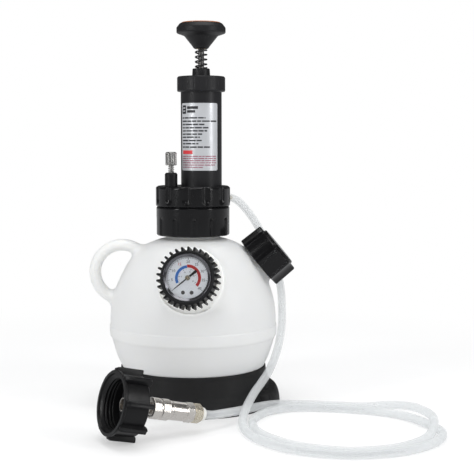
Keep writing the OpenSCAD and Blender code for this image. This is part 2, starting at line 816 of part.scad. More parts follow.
// ---------- pieces ----------
base();
tank();
neck_seal();
tank_nut();
head_clip();
pump_head();
barrel();
barrel_label();
pump_cap();
rod_bush();
check_disc();
check_spring();
check_cage();
dip_tube();
outlet_barb();
outlet_seal();
relief_body();
relief_stem();
relief_spring();
relief_knob();
pump_rod();
bumper_spring();
knob();
knob_insert();
knob_bush();
piston();
piston_cup();
piston_washer();
piston_nut();
filler_cap();
filler_gasket();
gauge_case();
gauge_bezel();
gauge_dial();
gauge_lens();
gauge_pointer();
pointer_hub();
dial_screws();
gauge_movement();
bourdon_tube();
gauge_stem();
gauge_insert();
gauge_seal();
gauge_boot();
hose();
coupler_body();
coupler_sleeve();
sleeve_spring();
lock_balls();
hose_nut();
hose_ferrule();
adapter_plug();
plug_oring();
adapter_cap();
adapter_gasket();
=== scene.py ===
# Hand-pumped pressure tank: a round milky tank in a black foot cup, with a pump, a relief valve,
# a filler cap, a gauge, a clear hose and a quick coupler that ends in a reservoir adapter cap.
# The tank stands upright on z = 0. Its carrying loop points to -x, and the hose lies in loops
# on the floor at -y, the camera's side. Shapes are in millimetres until build_mesh scales them.
import json
from math import acos, asin, atan2, ceil, cos, hypot, pi, radians, sin, sqrt, tan

import bmesh
import bpy
import numpy as np
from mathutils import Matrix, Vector


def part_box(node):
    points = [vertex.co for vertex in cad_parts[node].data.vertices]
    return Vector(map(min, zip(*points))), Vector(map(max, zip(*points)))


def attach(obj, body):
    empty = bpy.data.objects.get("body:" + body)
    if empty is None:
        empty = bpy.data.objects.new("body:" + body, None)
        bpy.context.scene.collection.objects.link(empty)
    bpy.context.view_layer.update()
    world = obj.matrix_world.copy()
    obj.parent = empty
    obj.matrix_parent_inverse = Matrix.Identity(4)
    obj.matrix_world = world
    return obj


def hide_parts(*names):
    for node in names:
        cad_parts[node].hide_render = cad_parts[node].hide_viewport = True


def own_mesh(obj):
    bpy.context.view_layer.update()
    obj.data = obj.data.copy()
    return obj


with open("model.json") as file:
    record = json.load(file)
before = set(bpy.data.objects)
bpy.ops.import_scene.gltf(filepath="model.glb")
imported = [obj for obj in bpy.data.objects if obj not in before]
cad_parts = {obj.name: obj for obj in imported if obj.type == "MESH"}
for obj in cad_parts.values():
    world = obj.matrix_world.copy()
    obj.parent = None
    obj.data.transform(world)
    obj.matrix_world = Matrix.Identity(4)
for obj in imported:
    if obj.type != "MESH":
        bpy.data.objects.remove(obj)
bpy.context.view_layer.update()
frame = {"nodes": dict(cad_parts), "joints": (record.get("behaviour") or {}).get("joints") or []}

NODES = frame["nodes"]
JOINTS = {j["name"]: j for j in frame["joints"]}
ROOT = "tank_and_pump"
MM = 0.001


# ---------------------------------------------------------------- part frames (4 x 4, mm)
def centre_of(node):
    low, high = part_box(node)
    return np.array([(low[i] + high[i]) * 500.0 for i in range(3)])


def unit(vector):
    return np.array(vector, float) / np.linalg.norm(vector)


def joint_axis(name):
    return np.array(JOINTS[name]["axis"], float)


def part_frame(x_axis, y_axis, z_axis, origin):
    matrix = np.eye(4)
    for column, vector in enumerate((x_axis, y_axis, z_axis, origin)):
        matrix[:3, column] = vector
    return matrix


def shift(x, y):
    matrix = np.eye(4)
    matrix[:2, 3] = (x, y)
    return matrix


def turn(degrees):
    angle = radians(degrees)
    matrix = np.eye(4)
    matrix[:2, :2] = [[cos(angle), -sin(angle)], [sin(angle), cos(angle)]]
    return matrix


def local(matrix, points):
    """World points as seen in a part frame."""
    return (np.asarray(points, float) - matrix[:3, 3]) @ matrix[:3, :3]


UP = (0, 0, 1)
WORLD = np.eye(4)
PUMP = shift(*centre_of("pump_cap")[:2])
RELIEF = shift(*centre_of("relief_knob")[:2])
DIP_TUBE = shift(*centre_of("dip_tube")[:2])

# the dial faces +z in the gauge's frame
GAUGE_NORMAL = -joint_axis("gauge_pointer_turn")
gauge_z = unit(GAUGE_NORMAL)
gauge_x = unit(np.cross(UP, gauge_z))
GAUGE = part_frame(gauge_x, np.cross(gauge_z, gauge_x), gauge_z,
                   np.array(JOINTS["gauge_pointer_turn"]["pos_m"], float) * 1000)

GASKET_UP_FILLER = 100.55
fill_z = unit(joint_axis("filler_cap_lift"))
FILL = part_frame(np.cross((0, 1, 0), fill_z), (0, 1, 0), fill_z,
                  centre_of("filler_gasket") - fill_z * GASKET_UP_FILLER)

# the hose comes in from -z in the coupler's frame, the adapter cap sits at +z
GASKET_UP_ADAPTER = 15.7
COUPLER_AXIS = unit(joint_axis("adapter_release"))
coupler_y = unit(np.cross(UP, COUPLER_AXIS))
COUPLER = part_frame(np.cross(coupler_y, COUPLER_AXIS), coupler_y, COUPLER_AXIS,
                     centre_of("adapter_gasket") - COUPLER_AXIS * GASKET_UP_ADAPTER)

outlet_height = np.array([0, 0, centre_of("outlet_seal")[2]])
outlet_z = unit(centre_of("outlet_seal") - outlet_height)
OUTLET = part_frame((0, 0, -1), np.cross(outlet_z, (0, 0, -1)), outlet_z, outlet_height)


# ---------------------------------------------------------------- shapes: (points, faces) pairs
def place(points, matrix):
    return np.asarray(points, float).reshape(-1, 3) @ matrix[:3, :3].T + matrix[:3, 3]


def moved(shape, matrix):
    return place(shape[0], matrix).tolist(), shape[1]


def merge(*shapes):
    points, faces = [], []
    for more_points, more_faces in shapes:
        start = len(points)
        points.extend(np.asarray(more_points, float).tolist())
        faces.extend(tuple(i + start for i in face) for face in more_faces)
    return points, faces


def loft(rings, close=False, cap=False):
    """Skins a row of rings. A ring of one point makes a tip; close joins the last to the first."""
    points, faces, start = [], [], []
    for ring in rings:
        start.append(len(points))
        points.extend(np.asarray(ring, float).reshape(-1, 3).tolist())
    order = list(range(len(rings))) + [0] * close
    for k, m in zip(order, order[1:]):
        count = max(len(rings[k]), len(rings[m]))
        if count == 1:
            continue
        low, high = start[k], start[m]
        for i in range(count):
            j = (i + 1) % count
            if len(rings[k]) == 1:
                faces.append((low, high + j, high + i))
            elif len(rings[m]) == 1:
                faces.append((low + i, low + j, high))
            else:
                faces.append((low + i, low + j, high + j, high + i))
    if cap:
        faces.append(tuple(start[0] + i for i in range(len(rings[0]) - 1, -1, -1)))
        faces.append(tuple(start[-1] + i for i in range(len(rings[-1]))))
    return points, faces


def circle(count):
    return np.linspace(0, 2 * pi, count, endpoint=False)


def mirrored(offsets):
    return [-v for v in offsets] + [0] + list(offsets)


def angles(gap, centres, offsets):
    """Sorted angles in radians: every centre + offset (degrees), with wide gaps filled."""
    fixed = sorted({round((c + o) % 360, 4) for c in centres for o in offsets})
    filled = []
    for i, start in enumerate(fixed):
        end = fixed[(i + 1) % len(fixed)] + (360 if i == len(fixed) - 1 else 0)
        count = max(1, int(ceil((end - start) / gap)))
        filled += [start + (end - start) * j / count for j in range(count)]
    return np.radians(np.array(filled))


def near(theta, centres):
    """Signed angle in radians from the nearest centre (degrees) to each theta."""
    offset = np.asarray(theta)[:, None] - np.radians(np.asarray(centres, float))[None, :]
    offset = (offset + pi) % (2 * pi) - pi
    return offset[np.arange(len(theta)), np.abs(offset).argmin(1)]


def smooth_min(a, b, width):
    share = np.clip(0.5 + 0.5 * (b - a) / width, 0, 1)
    return b + (a - b) * share - width * share * (1 - share)


def smooth_max(a, b, width):
    return -smooth_min(-a, -b, width)


def smooth_step(x, start, end):
    t = np.clip((x - start) / (end - start), 0, 1)
    return t * t * (3 - 2 * t)


def lathe(profile, theta, shape_ring=None):
    """Turns a closed (r, z) profile; shape_ring(r, z, theta) may bend each ring."""
    if isinstance(theta, int):
        theta = circle(theta)
    rings = []
    for radius, height in profile:
        if radius < 1e-6:
            rings.append(np.array([[0, 0, height]], float))
            continue
        r = np.full(len(theta), float(radius))
        z = np.full(len(theta), float(height))
        if shape_ring is not None:
            r, z = shape_ring(r, z, theta)
        rings.append(np.stack([r * np.cos(theta), r * np.sin(theta), z], 1))
    return loft(rings, close=True)


def soften(points, rad=0.4, seg=4, hold=0.22):
    """Rounds a closed (r, z[, own radius]) profile and adds holding points beside the arcs."""
    corners = [(np.array(p[:2], float), float(p[2]) if len(p) > 2 else rad) for p in points]
    rounded = []
    for i, (here, radius) in enumerate(corners):
        if radius <= 0 or here[0] < 1e-6:
            rounded.append(here)
            continue
        to_last = corners[i - 1][0] - here
        to_next = corners[(i + 1) % len(corners)][0] - here
        last_length, next_length = np.linalg.norm(to_last), np.linalg.norm(to_next)
        to_last, to_next = to_last / last_length, to_next / next_length
        angle = acos(max(-1, min(1, float(to_last @ to_next))))
        if angle > radians(172):
            rounded.append(here)
            continue
        trim = min(radius / tan(angle / 2), 0.42 * last_length, 0.42 * next_length)
        radius = trim * tan(angle / 2)
        middle = (to_last + to_next) / np.linalg.norm(to_last + to_next)
        centre = here + middle * radius / sin(angle / 2)
        first, last = here + to_last * trim - centre, here + to_next * trim - centre
        start = atan2(first[1], first[0])
        sweep = (atan2(last[1], last[0]) - start + pi) % (2 * pi) - pi
        count = max(2, int(ceil(abs(sweep) / (pi / 2) * seg)))
        for j in range(count + 1):
            bearing = start + sweep * j / count
            rounded.append(centre + radius * np.array([cos(bearing), sin(bearing)]))
    held = []
    for i, here in enumerate(rounded):
        held.append(here)
        after = rounded[(i + 1) % len(rounded)]
        length = np.linalg.norm(after - here)
        if hold and length > 3.2 * hold and max(here[0], after[0]) > 1e-6:
            along = (after - here) / length
            if here[0] > 1e-6:
                held.append(here + along * hold)
            if after[0] > 1e-6:
                held.append(after - along * hold)
    return [tuple(p) for p in held]


def rows(profile, step, test):
    """Adds points along a profile's long segments where test(r, z) holds at both ends."""
    filled = []
    for i, here in enumerate(profile):
        filled.append(here)
        after = profile[(i + 1) % len(profile)]
        dr, dz = after[0] - here[0], after[1] - here[1]
        length = hypot(dr, dz)
        if length > step and test(*here) and test(*after):
            count = int(ceil(length / step))
            filled += [(here[0] + dr * j / count, here[1] + dz * j / count)
                       for j in range(1, count)]
    return filled


def turned(points, theta, **rounding):
    return lathe(soften(points, **rounding), theta)


def scallop(theta, distance, radius, centres):
    """Radius at which a ray from the axis meets a round cutter whose centre is at distance."""
    offset = near(theta, centres)
    inside = radius * radius - (distance * np.sin(offset)) ** 2
    reach = distance * np.cos(offset) - np.sqrt(np.maximum(inside, 0))
    return np.where(inside > 0, reach, 1e3)


def flutes(inner, past_end, distance, radius, centres, blend):
    """Ring shaper: ball-ended flutes. past_end(z) is the height beyond the straight part."""
    def shape_ring(r, z, theta):
        if r[0] < inner:
            return r, z
        beyond = np.maximum(past_end(z), 0)
        width = np.sqrt(np.maximum(radius ** 2 - beyond ** 2, 0.0))
        cutter = scallop(theta, distance, np.maximum(width, 0.05), centres)
        return smooth_min(r, np.where(width > 0.05, cutter, 1e3), blend), z
    return shape_ring


def spline(points, steps, skip=0):
    """Catmull-Rom points, leaving out `skip` spans at each end."""
    points = np.asarray(points, float)
    last, path = len(points) - 1, []
    for i in range(skip, last - skip):
        a, b, c, d = points[max(i - 1, 0)], points[i], points[i + 1], points[min(i + 2, last)]
        for j in range(steps):
            t = j / steps
            path.append(0.5 * (2 * b + (c - a) * t + (2 * a - 5 * b + 4 * c - d) * t * t
                               + (3 * b - a - 3 * c + d) * t ** 3))
    path.append(points[last - skip])
    return np.array(path)


def ring_maker(path, sides):
    """Returns ring(i, radius, along=0) round point i of a path, without twist between rings."""
    tangents = np.empty_like(path)
    tangents[1:-1] = path[2:] - path[:-2]
    tangents[0], tangents[-1] = path[1] - path[0], path[-1] - path[-2]
    tangents /= np.linalg.norm(tangents, axis=1)[:, None]
    side = np.cross(tangents[0], (0.13, 0.21, 1.0))
    side /= np.linalg.norm(side)
    theta = circle(sides)
    across = []
    for tangent in tangents:
        side = side - (side @ tangent) * tangent
        side /= np.linalg.norm(side)
        across.append((side.copy(), np.cross(tangent, side)))

    def ring(i, radius, along=0.0):
        first, second = across[i]
        spokes = np.cos(theta)[:, None] * first + np.sin(theta)[:, None] * second
        return path[i] + tangents[i] * along + radius * spokes

    return ring


def tube(path, outer, inner, sides, rim):
    """A hollow tube with rounded outer rims."""
    ring = ring_maker(path, sides)
    last = len(path) - 1
    steps = ((rim, 0), (0.3 * rim, 0.3 * rim), (0, rim))  # (step in, step along)
    rings = [ring(0, outer - inset, along) for inset, along in steps]
    rings += [ring(i, outer) for i in range(1, last)]
    rings += [ring(last, outer - inset, -along) for inset, along in reversed(steps)]
    rings += [ring(i, inner) for i in range(last, -1, -1)]
    return loft(rings, close=True)


def coil(radius, wire, turns, bottom, top, sides, per_turn):
    """A compression spring of wire radius `wire`, with its end turns eased flat."""
    ease = 0.14
    count = int(turns * per_turn)
    t = np.arange(count + 1) / count
    tail = 1 - 1.5 * ease + 0.5 * ease * (1 - ((1 - t) / ease) ** 2)
    rise = np.where(t < ease, 0.5 * t * t / ease, np.where(t > 1 - ease, tail, t - ease / 2))
    theta = 2 * pi * turns * t
    z = bottom + wire + (top - bottom - 2 * wire) * rise / (1 - ease)
    path = np.stack([radius * np.cos(theta), radius * np.sin(theta), z], 1)
    ring = ring_maker(path, sides)
    return loft([ring(i, wire) for i in range(len(path))], cap=True)


def arc_section(r0, r1, angle, z0, z1):
    c, s = cos(angle), sin(angle)
    return [(r0 * c, r0 * s, z0), (r1 * c, r1 * s, z0), (r1 * c, r1 * s, z1), (r0 * c, r0 * s, z1)]


def patch(r0, r1, a0, a1, z0, z1, corner, step):
    """A thin round-cornered slab on a cylinder, from azimuth a0 to a1 in degrees."""
    width = radians(a1 - a0) * r1
    count = max(1, int(ceil((a1 - a0) / step)))
    even = [width * j / count for j in range(count + 1)]
    arc = [corner * (1 - cos(pi / 2 * j / 5)) for j in range(6)]
    stations = arc + [width - u for u in arc] + [u for u in even if corner < u < width - corner]
    rings = []
    for u in sorted({round(u, 5) for u in stations}):
        edge = min(u, width - u)
        inset = 0.0
        if edge < corner:
            inset = corner - sqrt(max(0, corner ** 2 - (corner - edge) ** 2))
        rings.append(arc_section(r0, r1, radians(a0) + u / r1, z0 + inset, z1 - inset))
    return loft(rings, cap=True)


def sector(r0, r1, a0, a1, z0, z1):
    """A flat arc band from angle a0 to a1 in degrees."""
    count = max(1, int(ceil(abs(a1 - a0) / 3.0)))
    return loft([arc_section(r0, r1, radians(a0 + (a1 - a0) * j / count), z0, z1)
                 for j in range(count + 1)], cap=True)


def slab(x0, x1, y0, y1, z0, z1):
    return loft([[(x0, y0, z), (x1, y0, z), (x1, y1, z), (x0, y1, z)] for z in (z0, z1)], cap=True)


def cylinder(radius, z0, z1, sides=96):
    theta = circle(sides)
    x, y = radius * np.cos(theta), radius * np.sin(theta)
    return loft([np.stack([x, y, np.full(sides, z)], 1) for z in (z0, z1)], cap=True)


HEX_THETA = angles(3.0, [60 * i for i in range(6)], mirrored([0.5, 1.2, 2.0]))


def hexed(flats, z0, z1):
    """Ring shaper: a hexagon, `flats` across, between two heights."""
    def shape_ring(r, z, theta):
        if z[0] < z0 or z[0] > z1 or r[0] < flats * 0.42:
            return r, z
        hexagon = flats / 2 / np.cos(near(theta, [30 + 60 * i for i in range(6)]))
        return smooth_min(r, hexagon, 0.22), z
    return shape_ring


# ---------------------------------------------------------------- shapes to objects
def build_mesh(name, shape, matrix, weld):
    points, faces = moved(shape, matrix)
    mesh = bpy.data.meshes.new(name)
    mesh.from_pydata((np.array(points) * MM).tolist(), [],
                     [tuple(int(i) for i in face) for face in faces])
    work = bmesh.new()
    work.from_mesh(mesh)
    if weld:
        bmesh.ops.remove_doubles(work, verts=work.verts, dist=3e-6)
    bmesh.ops.recalc_face_normals(work, faces=work.faces)
    work.to_mesh(mesh)
    work.free()
    return mesh


def add_object(name, data):
    ob = bpy.data.objects.new(name, data)
    bpy.context.scene.collection.objects.link(ob)
    return ob


def set_smooth(mesh):
    mesh.polygons.foreach_set("use_smooth", [True] * len(mesh.polygons))


def piece(name, shape, material, slot, replaces=None, at=WORLD, body=ROOT, sharp=32.0,
          normals=None):
    """Makes an object from a shape in frame `at`, carried by `body`."""
    mesh = build_mesh(name, shape, at, weld=normals is None)
    set_smooth(mesh)
    if normals is not None:
        mesh.normals_split_custom_set_from_vertices(normals)
    else:
        mesh.set_sharp_from_angle(angle=radians(sharp))
    mesh.update()
    ob = add_object(name, mesh)
    mesh.materials.append(MATERIALS[material])
    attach(ob, body)
    if replaces:
        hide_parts(replaces)
    return ob


def cut(ob, *tools, operation="DIFFERENCE"):
    """Applies closed (shape, frame) tools to a piece in place, then shades it again."""
    for shape, matrix in tools:
        tool_mesh = build_mesh("tool", shape, matrix, weld=False)
        tool = add_object("tool", tool_mesh)
        modifier = ob.modifiers.new("cut", "BOOLEAN")
        modifier.operation = operation
        modifier.solver = "EXACT"
        modifier.object = tool
        bpy.context.view_layer.update()
        graph = bpy.context.evaluated_depsgraph_get()
        result = bpy.data.meshes.new_from_object(ob.evaluated_get(graph))
        ob.modifiers.clear()
        old = ob.data
        result.name = old.name
        ob.data = result
        bpy.data.objects.remove(tool)
        bpy.data.meshes.remove(old)
    set_smooth(result)
    result.set_sharp_from_angle(angle=radians(32))


def spring(name, material, slot, replaces, at, joint, keep, bottom, **sizes):
    """A coil spring at its full length; it does not shorten with its joint, and `keep` is not used.
    """
    ob = piece(name, coil(bottom=bottom, **sizes), material, slot, replaces, at=at)
    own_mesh(ob)


# ---------------------------------------------------------------- materials
MIDDLE = (0.3, 0.7)  # the band that holds most of a noise's values


def rgb(colour, gain=1.0):
    return tuple(min(1, c * gain) for c in colour) + (1.0,)


class Nodes:
    """Builds one material's node tree."""

    def __init__(self, name):
        self.material = bpy.data.materials.new(name)
        self.material.use_nodes = True
        self.tree = self.material.node_tree
        self.tree.nodes.clear()
        self.coords = self.node("TexCoord").outputs["Object"]

    def node(self, kind, props=None, **inputs):
        node = self.tree.nodes.new("ShaderNode" + kind)
        for key, value in (props or {}).items():
            setattr(node, key, value)
        for key, value in inputs.items():
            self.feed(node, key.replace("_", " "), value)
        return node

    def feed(self, node, socket, value):
        if isinstance(value, bpy.types.NodeSocket):
            self.tree.links.new(value, node.inputs[socket])
        else:
            node.inputs[socket].default_value = value

    def math(self, operation, first, second=0.0, clamp=False):
        node = self.node("Math", {"operation": operation, "use_clamp": clamp})
        for i, value in enumerate((first, second, 0.0)):
            self.feed(node, i, value)
        return node.outputs[0]

    def measure(self, operation, other=(0, 0, 0)):
        """A single value from the object coordinates and another vector."""
        node = self.node("VectorMath", {"operation": operation})
        self.feed(node, 0, self.coords)
        self.feed(node, 1, other)
        return node.outputs["Value"]

    def mix(self, share, first, second):
        return self.node("MixRGB", Fac=share, Color1=first, Color2=second).outputs[0]

    def blend(self, share, first, second):
        node = self.node("MixShader", Fac=share)
        self.feed(node, 1, first.outputs[0])
        self.feed(node, 2, second.outputs[0])
        return node

    def stretched(self, scale, rotation):
        return self.node("Mapping", Vector=self.coords, Scale=scale, Rotation=rotation).outputs[0]

    def noise(self, scale, detail=3.0, rough=0.5, at=None):
        return self.node("TexNoise", Vector=at or self.coords, Scale=scale, Detail=detail,
                         Roughness=rough).outputs["Fac"]

    def span(self, value, source, to=(0.0, 1.0), smooth=False):
        """Maps the range `source` to the range `to`, clamped."""
        props = {"clamp": True}
        if smooth:
            props["interpolation_type"] = "SMOOTHSTEP"
        return self.node("MapRange", props, Value=value, From_Min=source[0], From_Max=source[1],
                         To_Min=to[0], To_Max=to[1]).outputs[0]

    def bump(self, height, mm, strength=1.0, over=None):
        node = self.node("Bump", Height=height, Distance=mm * MM, Strength=strength)
        if over is not None:
            self.feed(node, "Normal", over)
        return node.outputs[0]

    def finish(self, shader):
        self.node("OutputMaterial", Surface=shader.outputs[0])
        return self.material


def surface_nodes(name, colour, rough=0.4, metal=0.0, tone=0.14, tone_scale=45.0,
                  grain=(1400.0, 0.02), wave=(120.0, 0.02), rough_var=0.07, wear=0.25, worn=None,
                  dust=0.0, coat=0.0, spec=0.5, lathed=None, scratch=0.15, scatter=None,
                  tint=None):
    """Moulded plastic, rubber or metal: blotchy tone, fine grain, slow waves, uneven gloss,
    hairline scratches and paler, rougher convex edges.

    grain and wave are (scale per metre, height in mm), worn is the colour of rubbed edges,
    lathed is (axis, scale, depth in mm) and scatter is (weight, radius, scale in m)."""
    mat = Nodes(name)
    blotch = mat.noise(scale=tone_scale, detail=4, rough=0.55)
    speckle = mat.noise(scale=grain[0] * 0.6, detail=3, rough=0.6)
    base = mat.mix(mat.span(blotch, MIDDLE), rgb(colour, 1 - tone), rgb(tint or colour, 1 + tone))
    base = mat.mix(mat.span(speckle, (0.35, 0.7), to=(0, 0.35)), base, rgb(colour, 1 + 1.6 * tone))
    # hairline scratches: noise stretched in two directions, kept to patches
    first = mat.noise(scale=1.0, detail=2, at=mat.stretched((60, 2600, 400), (0.3, 0.2, 0.5)))
    second = mat.noise(scale=1.0, detail=2, at=mat.stretched((2400, 70, 500), (0.1, 0.6, -0.4)))
    hairs = mat.math("MAXIMUM", mat.span(first, (0.66, 0.70)), mat.span(second, (0.68, 0.72)))
    hairs = mat.math("MULTIPLY", hairs, mat.span(mat.noise(scale=24, detail=2), (0.45, 0.65)))
    # convex edges rub paler
    geometry = mat.node("NewGeometry")
    edge = mat.span(geometry.outputs["Pointiness"], (0.515, 0.60), smooth=True)
    edge_breaks = mat.noise(scale=320, detail=3, rough=0.6)
    edge = mat.math("MULTIPLY", edge, mat.span(edge_breaks, (0.35, 0.62)))
    worn = worn or tuple(min(1.0, c * 1.9 + 0.012) for c in colour)
    base = mat.mix(mat.math("MULTIPLY", edge, wear), base, rgb(worn))
    # dust settles on faces that look up
    if dust:
        upward = mat.node("SeparateXYZ", Vector=geometry.outputs["Normal"]).outputs["Z"]
        specks = mat.span(mat.noise(scale=260, detail=4, rough=0.65), (0.42, 0.68))
        settled = mat.math("MULTIPLY", mat.span(upward, (0.25, 0.95)), specks)
        base = mat.mix(mat.math("MULTIPLY", settled, dust), base, (0.42, 0.41, 0.39, 1))
    gloss = mat.span(mat.noise(scale=85, detail=4, rough=0.6), MIDDLE,
                     to=(max(0.02, rough - rough_var), min(1.0, rough + rough_var)))
    gloss = mat.math("ADD", gloss, mat.math("MULTIPLY", hairs, scratch * 0.6))
    gloss = mat.math("ADD", gloss, mat.math("MULTIPLY", edge, wear * 0.25), clamp=True)
    relief = mat.bump(mat.noise(scale=wave[0], detail=2), mm=wave[1])
    relief = mat.bump(mat.noise(scale=grain[0], rough=0.6), mm=grain[1], over=relief)
    relief = mat.bump(hairs, mm=-0.004 if metal else -0.008, strength=scratch, over=relief)
    # turning marks round an axis
    if lathed is not None:
        axis, scale, depth = lathed
        marks = mat.node("TexNoise", {"noise_dimensions": "1D"}, Scale=scale, Detail=3.0,
                         W=mat.measure("DOT_PRODUCT", axis), Roughness=0.65).outputs["Fac"]
        relief = mat.bump(marks, mm=depth, over=relief)
        uneven = mat.span(marks, (0.35, 0.65), to=(-0.05, 0.05))
        gloss = mat.math("ADD", gloss, uneven, clamp=True)
    bsdf = mat.node("BsdfPrincipled", Base_Color=base, Roughness=gloss, Metallic=metal,
                    Normal=relief, Specular_IOR_Level=spec)
    if coat:
        mat.feed(bsdf, "Coat Weight", coat)
        mat.feed(bsdf, "Coat Roughness", 0.08)
    if scatter:
        for socket, value in zip(("Weight", "Radius", "Scale"), scatter):
            mat.feed(bsdf, "Subsurface " + socket, value)
    mat.bsdf, mat.relief = bsdf, relief
    return mat


def surface(*args, **settings):
    mat = surface_nodes(*args, **settings)
    return mat.finish(mat.bsdf)


def tank_plastic():
    """Milky plastic: light scatters in the wall; matt grain, a faint parting line at y = 0 and a
    painted glow round the gauge seat.
    """
    mat = surface_nodes("tank_plastic", (0.86, 0.865, 0.86), rough=0.36, tone=0.012,
                        tone_scale=14, grain=(900, 0.03), wave=(38, 0.16), rough_var=0.05,
                        wear=0.0, scratch=0.08, spec=0.45,
                        scatter=(0.55, (1.0, 0.97, 0.9), 0.006))
    y = mat.node("SeparateXYZ", Vector=mat.coords).outputs["Y"]
    line = mat.span(mat.math("ABSOLUTE", y), (0.0001, 0.0006), to=(1, 0), smooth=True)
    faint = mat.span(mat.noise(scale=60, detail=2), (0.25, 0.5), to=(0.4, 1.0))
    line = mat.math("MULTIPLY", line, faint)
    mat.feed(mat.bsdf, "Normal", mat.bump(line, mm=0.16, over=mat.relief))
    # painted light: the wall glows softly round the gauge seat and lifts the shade in the recess
    seat = [c / 1000.0 for c in (GAUGE[:3, 3] - 6.0 * GAUGE[:3, 2])]
    painted_seat_glow = mat.span(mat.measure("DISTANCE", seat), (0.030, 0.0375), to=(0.42, 0.0), smooth=True)
    mat.feed(mat.bsdf, "Emission Color", (1.0, 0.995, 0.97, 1))
    mat.feed(mat.bsdf, "Emission Strength", painted_seat_glow)
    through = mat.node("BsdfTranslucent", Color=(0.90, 0.905, 0.89, 1), Normal=mat.relief)
    return mat.finish(mat.blend(0.16, mat.bsdf, through))


def hose_plastic():
    """Frosted clear vinyl: the background shows through, and the tube's edges look denser."""
    mat = surface_nodes("hose_plastic", (0.86, 0.87, 0.875), rough=0.27, tone=0.010,
                        tone_scale=22, grain=(260, 0.0015), wave=(30, 0.008), rough_var=0.03,
                        wear=0.0, scratch=0.02)
    through = mat.node("BsdfTranslucent", Color=(0.88, 0.895, 0.90, 1), Normal=mat.relief)
    wall = mat.blend(0.45, mat.bsdf, through)
    clear = mat.node("BsdfTransparent", Color=(0.985, 0.988, 0.99, 1))
    facing = mat.node("LayerWeight", Blend=0.5).outputs["Facing"]
    density = mat.span(facing, (0.15, 1.0), to=(0.27, 0.62))
    uneven = mat.span(mat.noise(scale=22, detail=2), MIDDLE, to=(-0.02, 0.03))
    density = mat.math("ADD", density, uneven, clamp=True)
    return mat.finish(mat.blend(density, clear, wall))


def lens_plastic():
    """Clear window: a sheen that grows at grazing angles and a trace of dust."""
    mat = Nodes("lens_clear")
    gloss = mat.span(mat.noise(scale=60), MIDDLE, to=(0.02, 0.07))
    relief = mat.bump(mat.noise(scale=25, detail=2), mm=0.02)
    sheen = mat.node("BsdfGlossy", Color=(1, 1, 1, 1), Roughness=gloss, Normal=relief)
    clear = mat.node("BsdfTransparent", Color=(0.975, 0.98, 0.985, 1))
    grazing = mat.node("Fresnel", IOR=1.46, Normal=relief).outputs[0]
    dust = mat.span(mat.noise(scale=420, detail=4, rough=0.7), (0.62, 0.72), to=(0.0, 0.02))
    share = mat.math("ADD", mat.math("MULTIPLY", grazing, 0.9), dust, clamp=True)
    return mat.finish(mat.blend(share, clear, sheen))


def dial_enamel():
    """White enamel with a slight painted glow that lifts the shade of its recess."""
    mat = surface_nodes("dial_white_enamel", (0.90, 0.915, 0.945), rough=0.38, tone=0.02,
                        tone_scale=120, grain=(2600, 0.004), wave=(180, 0.006), rough_var=0.05,
                        wear=0.0, scratch=0.1)
    # painted light: a faint glow brightens the dial
    mat.feed(mat.bsdf, "Emission Color", (0.96, 0.98, 1.0, 1))
    mat.feed(mat.bsdf, "Emission Strength", 0.10)
    return mat.finish(mat.bsdf)


# settings shared by the printed inks on the sticker and on the dial
LABEL_INK = dict(rough=0.42, grain=(2600, 0.005), wave=(200, 0.004), wear=0.0, scratch=0.1)
DIAL_INK = dict(rough=0.4, grain=(2600, 0.004), wave=(180, 0.004), wear=0.0, scratch=0.1)

